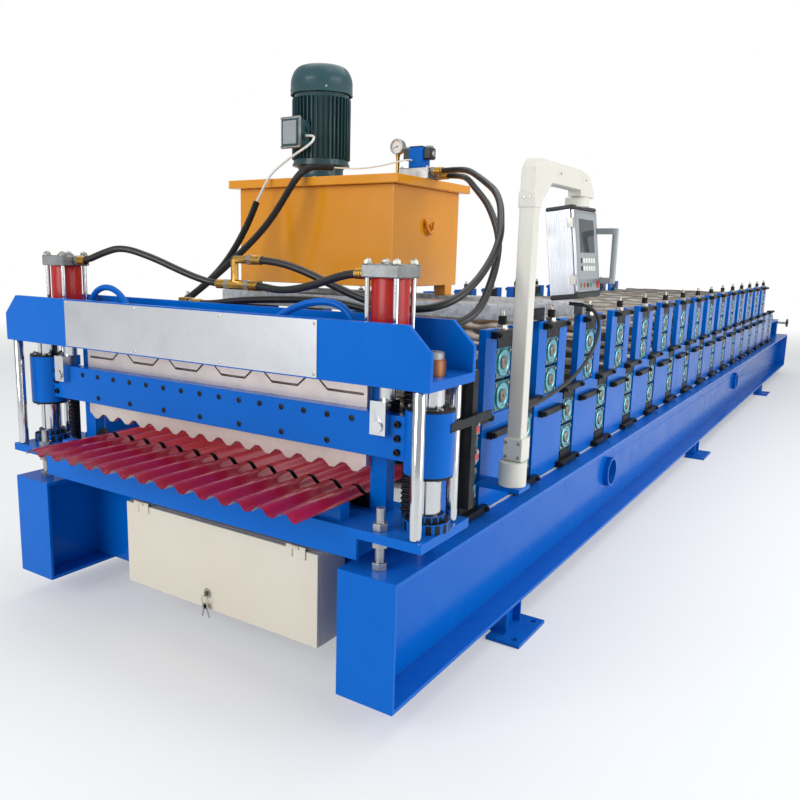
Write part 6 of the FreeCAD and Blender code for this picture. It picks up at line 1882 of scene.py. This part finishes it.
@dataclass
class Studio:
    """Pale floor, soft lamps and the camera at the photograph's angle."""

    camera_at: Point = (1697.4, -1522.0, 1219.9)
    pitch: float = 1.390
    roll: float = 0.020
    yaw: float = 0.589
    focal_pixels: float = 777.15
    principal: tuple[float, float] = (363.66, 397.49)
    picture: float = 800.0
    sensor: float = 36.0
    panels: tuple[Lamp, ...] = (
        Lamp("roof_panel", (0, 3400, 6200), (0, 3400, 0), 7.0, 230.0),
        Lamp("front_panel", (-1200, -4600, 2600), (0, 400, 800), 3.2, 165.0),
        Lamp("side_panel", (5600, 1600, 2400), (0, 1800, 500), 4.0, 170.0))
    sky: str = "#f6f8fa"
    sky_strength: float = 0.55
    floor_colour: str = "#e9eaeb"
    floor_drop: float = 0.0005
    floor_half: float = 60.0
    floor_middle: float = 3.4
    fade_near: float = 0.35
    fade_from: float = 6.0
    fade_to: float = 11.0

    def build(self) -> None:
        """Set the view, the world, the lamps, the floor and the camera."""
        bpy.context.scene.view_settings.view_transform = "Standard"
        self.world()
        self.lamps()
        self.floor()
        self.camera()

    def camera(self) -> None:
        """Place the camera where the photograph was taken from."""
        data = bpy.data.cameras.new("photo_camera")
        data.sensor_width = self.sensor
        data.lens = self.focal_pixels / self.picture * self.sensor
        data.shift_x = (self.picture / 2 - self.principal[0]) / self.picture
        data.shift_y = (self.principal[1] - self.picture / 2) / self.picture
        data.clip_end = 200.0
        camera = bpy.data.objects.new("photo_camera", data)
        bpy.context.scene.collection.objects.link(camera)
        turn = (Matrix.Rotation(self.yaw, 4, "Z") @ Matrix.Rotation(self.pitch, 4, "X")
                @ Matrix.Rotation(self.roll, 4, "Z"))
        camera.matrix_world = Matrix.Translation(place(*self.camera_at)) @ turn
        bpy.context.scene.camera = camera

    def world(self) -> None:
        """Light from all round, with plain white where the camera or a transmitted ray sees the sky."""
        world = bpy.data.worlds.new("studio")
        bpy.context.scene.world = world
        world.use_nodes = True
        tree = world.node_tree
        tree.nodes.clear()
        rays = add_node(tree, "ShaderNodeLightPath")
        seen = add_node(tree, "ShaderNodeMath", {0: rays.outputs["Is Camera Ray"],
                                                 1: rays.outputs["Is Transmission Ray"]}, operation="MAXIMUM")
        soft = add_node(tree, "ShaderNodeBackground", {
            "Color": hex_colour(self.sky), "Strength": self.sky_strength})
        white = add_node(tree, "ShaderNodeBackground", {"Color": (1, 1, 1, 1), "Strength": 1.0})
        mix = add_node(tree, "ShaderNodeMixShader", {0: seen.outputs[0], 1: soft.outputs[0],
                                                     2: white.outputs[0]})
        output = add_node(tree, "ShaderNodeOutputWorld")
        tree.links.new(mix.outputs[0], output.inputs["Surface"])

    def lamps(self) -> None:
        """Hang three soft panels: a hall of skylights, one at the front and one beside the machine."""
        for panel in self.panels:
            data = bpy.data.lights.new(panel.name, "AREA")
            data.shape = "SQUARE"
            data.size = panel.width
            data.energy = panel.power
            lamp = bpy.data.objects.new(panel.name, data)
            bpy.context.scene.collection.objects.link(lamp)
            look = place(*panel.aim) - place(*panel.at)
            turn = look.to_track_quat("-Z", "Y").to_matrix().to_4x4()
            lamp.matrix_world = Matrix.Translation(place(*panel.at)) @ turn

    def floor(self) -> None:
        """Lay a pale floor that keeps the shadow near the machine and fades to white further off."""
        surface = bmesh.new()
        bmesh.ops.create_grid(surface, x_segments=2, y_segments=2, size=self.floor_half)
        data = bpy.data.meshes.new("studio_floor")
        surface.to_mesh(data)
        surface.free()
        material, tree = new_tree("painted_screed_pale")
        rays = add_node(tree, "ShaderNodeLightPath")
        seen = add_node(tree, "ShaderNodeMath", {0: rays.outputs["Is Camera Ray"],
                                                 1: rays.outputs["Is Glossy Ray"]}, operation="MAXIMUM")
        coordinates = add_node(tree, "ShaderNodeTexCoord")
        middle = add_node(tree, "ShaderNodeVectorMath", {0: coordinates.outputs["Object"],
                                                         1: (0.0, self.floor_middle, 0.0)},
                          operation="SUBTRACT")
        away = add_node(tree, "ShaderNodeVectorMath", {0: middle.outputs[0]}, operation="LENGTH")
        fade = spread(tree, away.outputs["Value"], self.fade_near, 1.0, self.fade_from, self.fade_to)
        share = add_node(tree, "ShaderNodeMath", {0: fade, 1: seen.outputs[0]}, operation="MULTIPLY")
        plain = add_node(tree, "ShaderNodeBsdfDiffuse", {"Color": hex_colour(self.floor_colour)})
        white = add_node(tree, "ShaderNodeEmission", {"Color": (1, 1, 1, 1), "Strength": 1.0})
        mix = add_node(tree, "ShaderNodeMixShader", {0: share.outputs[0], 1: plain.outputs[0],
                                                     2: white.outputs[0]})
        output = add_node(tree, "ShaderNodeOutputMaterial")
        tree.links.new(mix.outputs[0], output.inputs["Surface"])
        data.materials.append(material)
        floor = bpy.data.objects.new("studio_floor", data)
        floor.location.z = CAD_BOX[0].z - self.floor_drop
        bpy.context.scene.collection.objects.link(floor)


def dress_rest() -> None:
    """Round and paint each node that no group has built."""
    looks = {"blue_paint": "machine_blue", "red_paint": "cylinder_red", "orange_paint": "tank_orange",
             "green_paint": "motor_green", "beige_paint": "cabinet_beige", "ground_steel": "chromed",
             "block_steel": "cartridge", "stud_steel": "plain_steel", "red_sheet": "sheet_red",
             "dial": "dial_white"}
    stood = {name for piece in bpy.data.objects for name in piece.get("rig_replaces", [])}
    for node in BODY_OF:
        if node not in stood:
            softened(node, looks.get(SLOT_OF[node], SLOT_OF[node]), REST_EDGE)


def main() -> None:
    """Build every group in order."""
    logging.basicConfig(level=logging.INFO, format="%(message)s")
    Studio().build()
    groups: list[Assembly] = [HoseSet(), BaseFrame(), StationRow(), RollLayers(), ShearStand(), Cylinders(),
                              OilUnit(), ElectricCabinet(), ConsoleArm(), SwitchGear(), EntryGuide()]
    for group in groups:
        log.info("building %s", type(group).__name__)
        group.build()
    dress_rest()


if __name__ == "__main__":
    main()
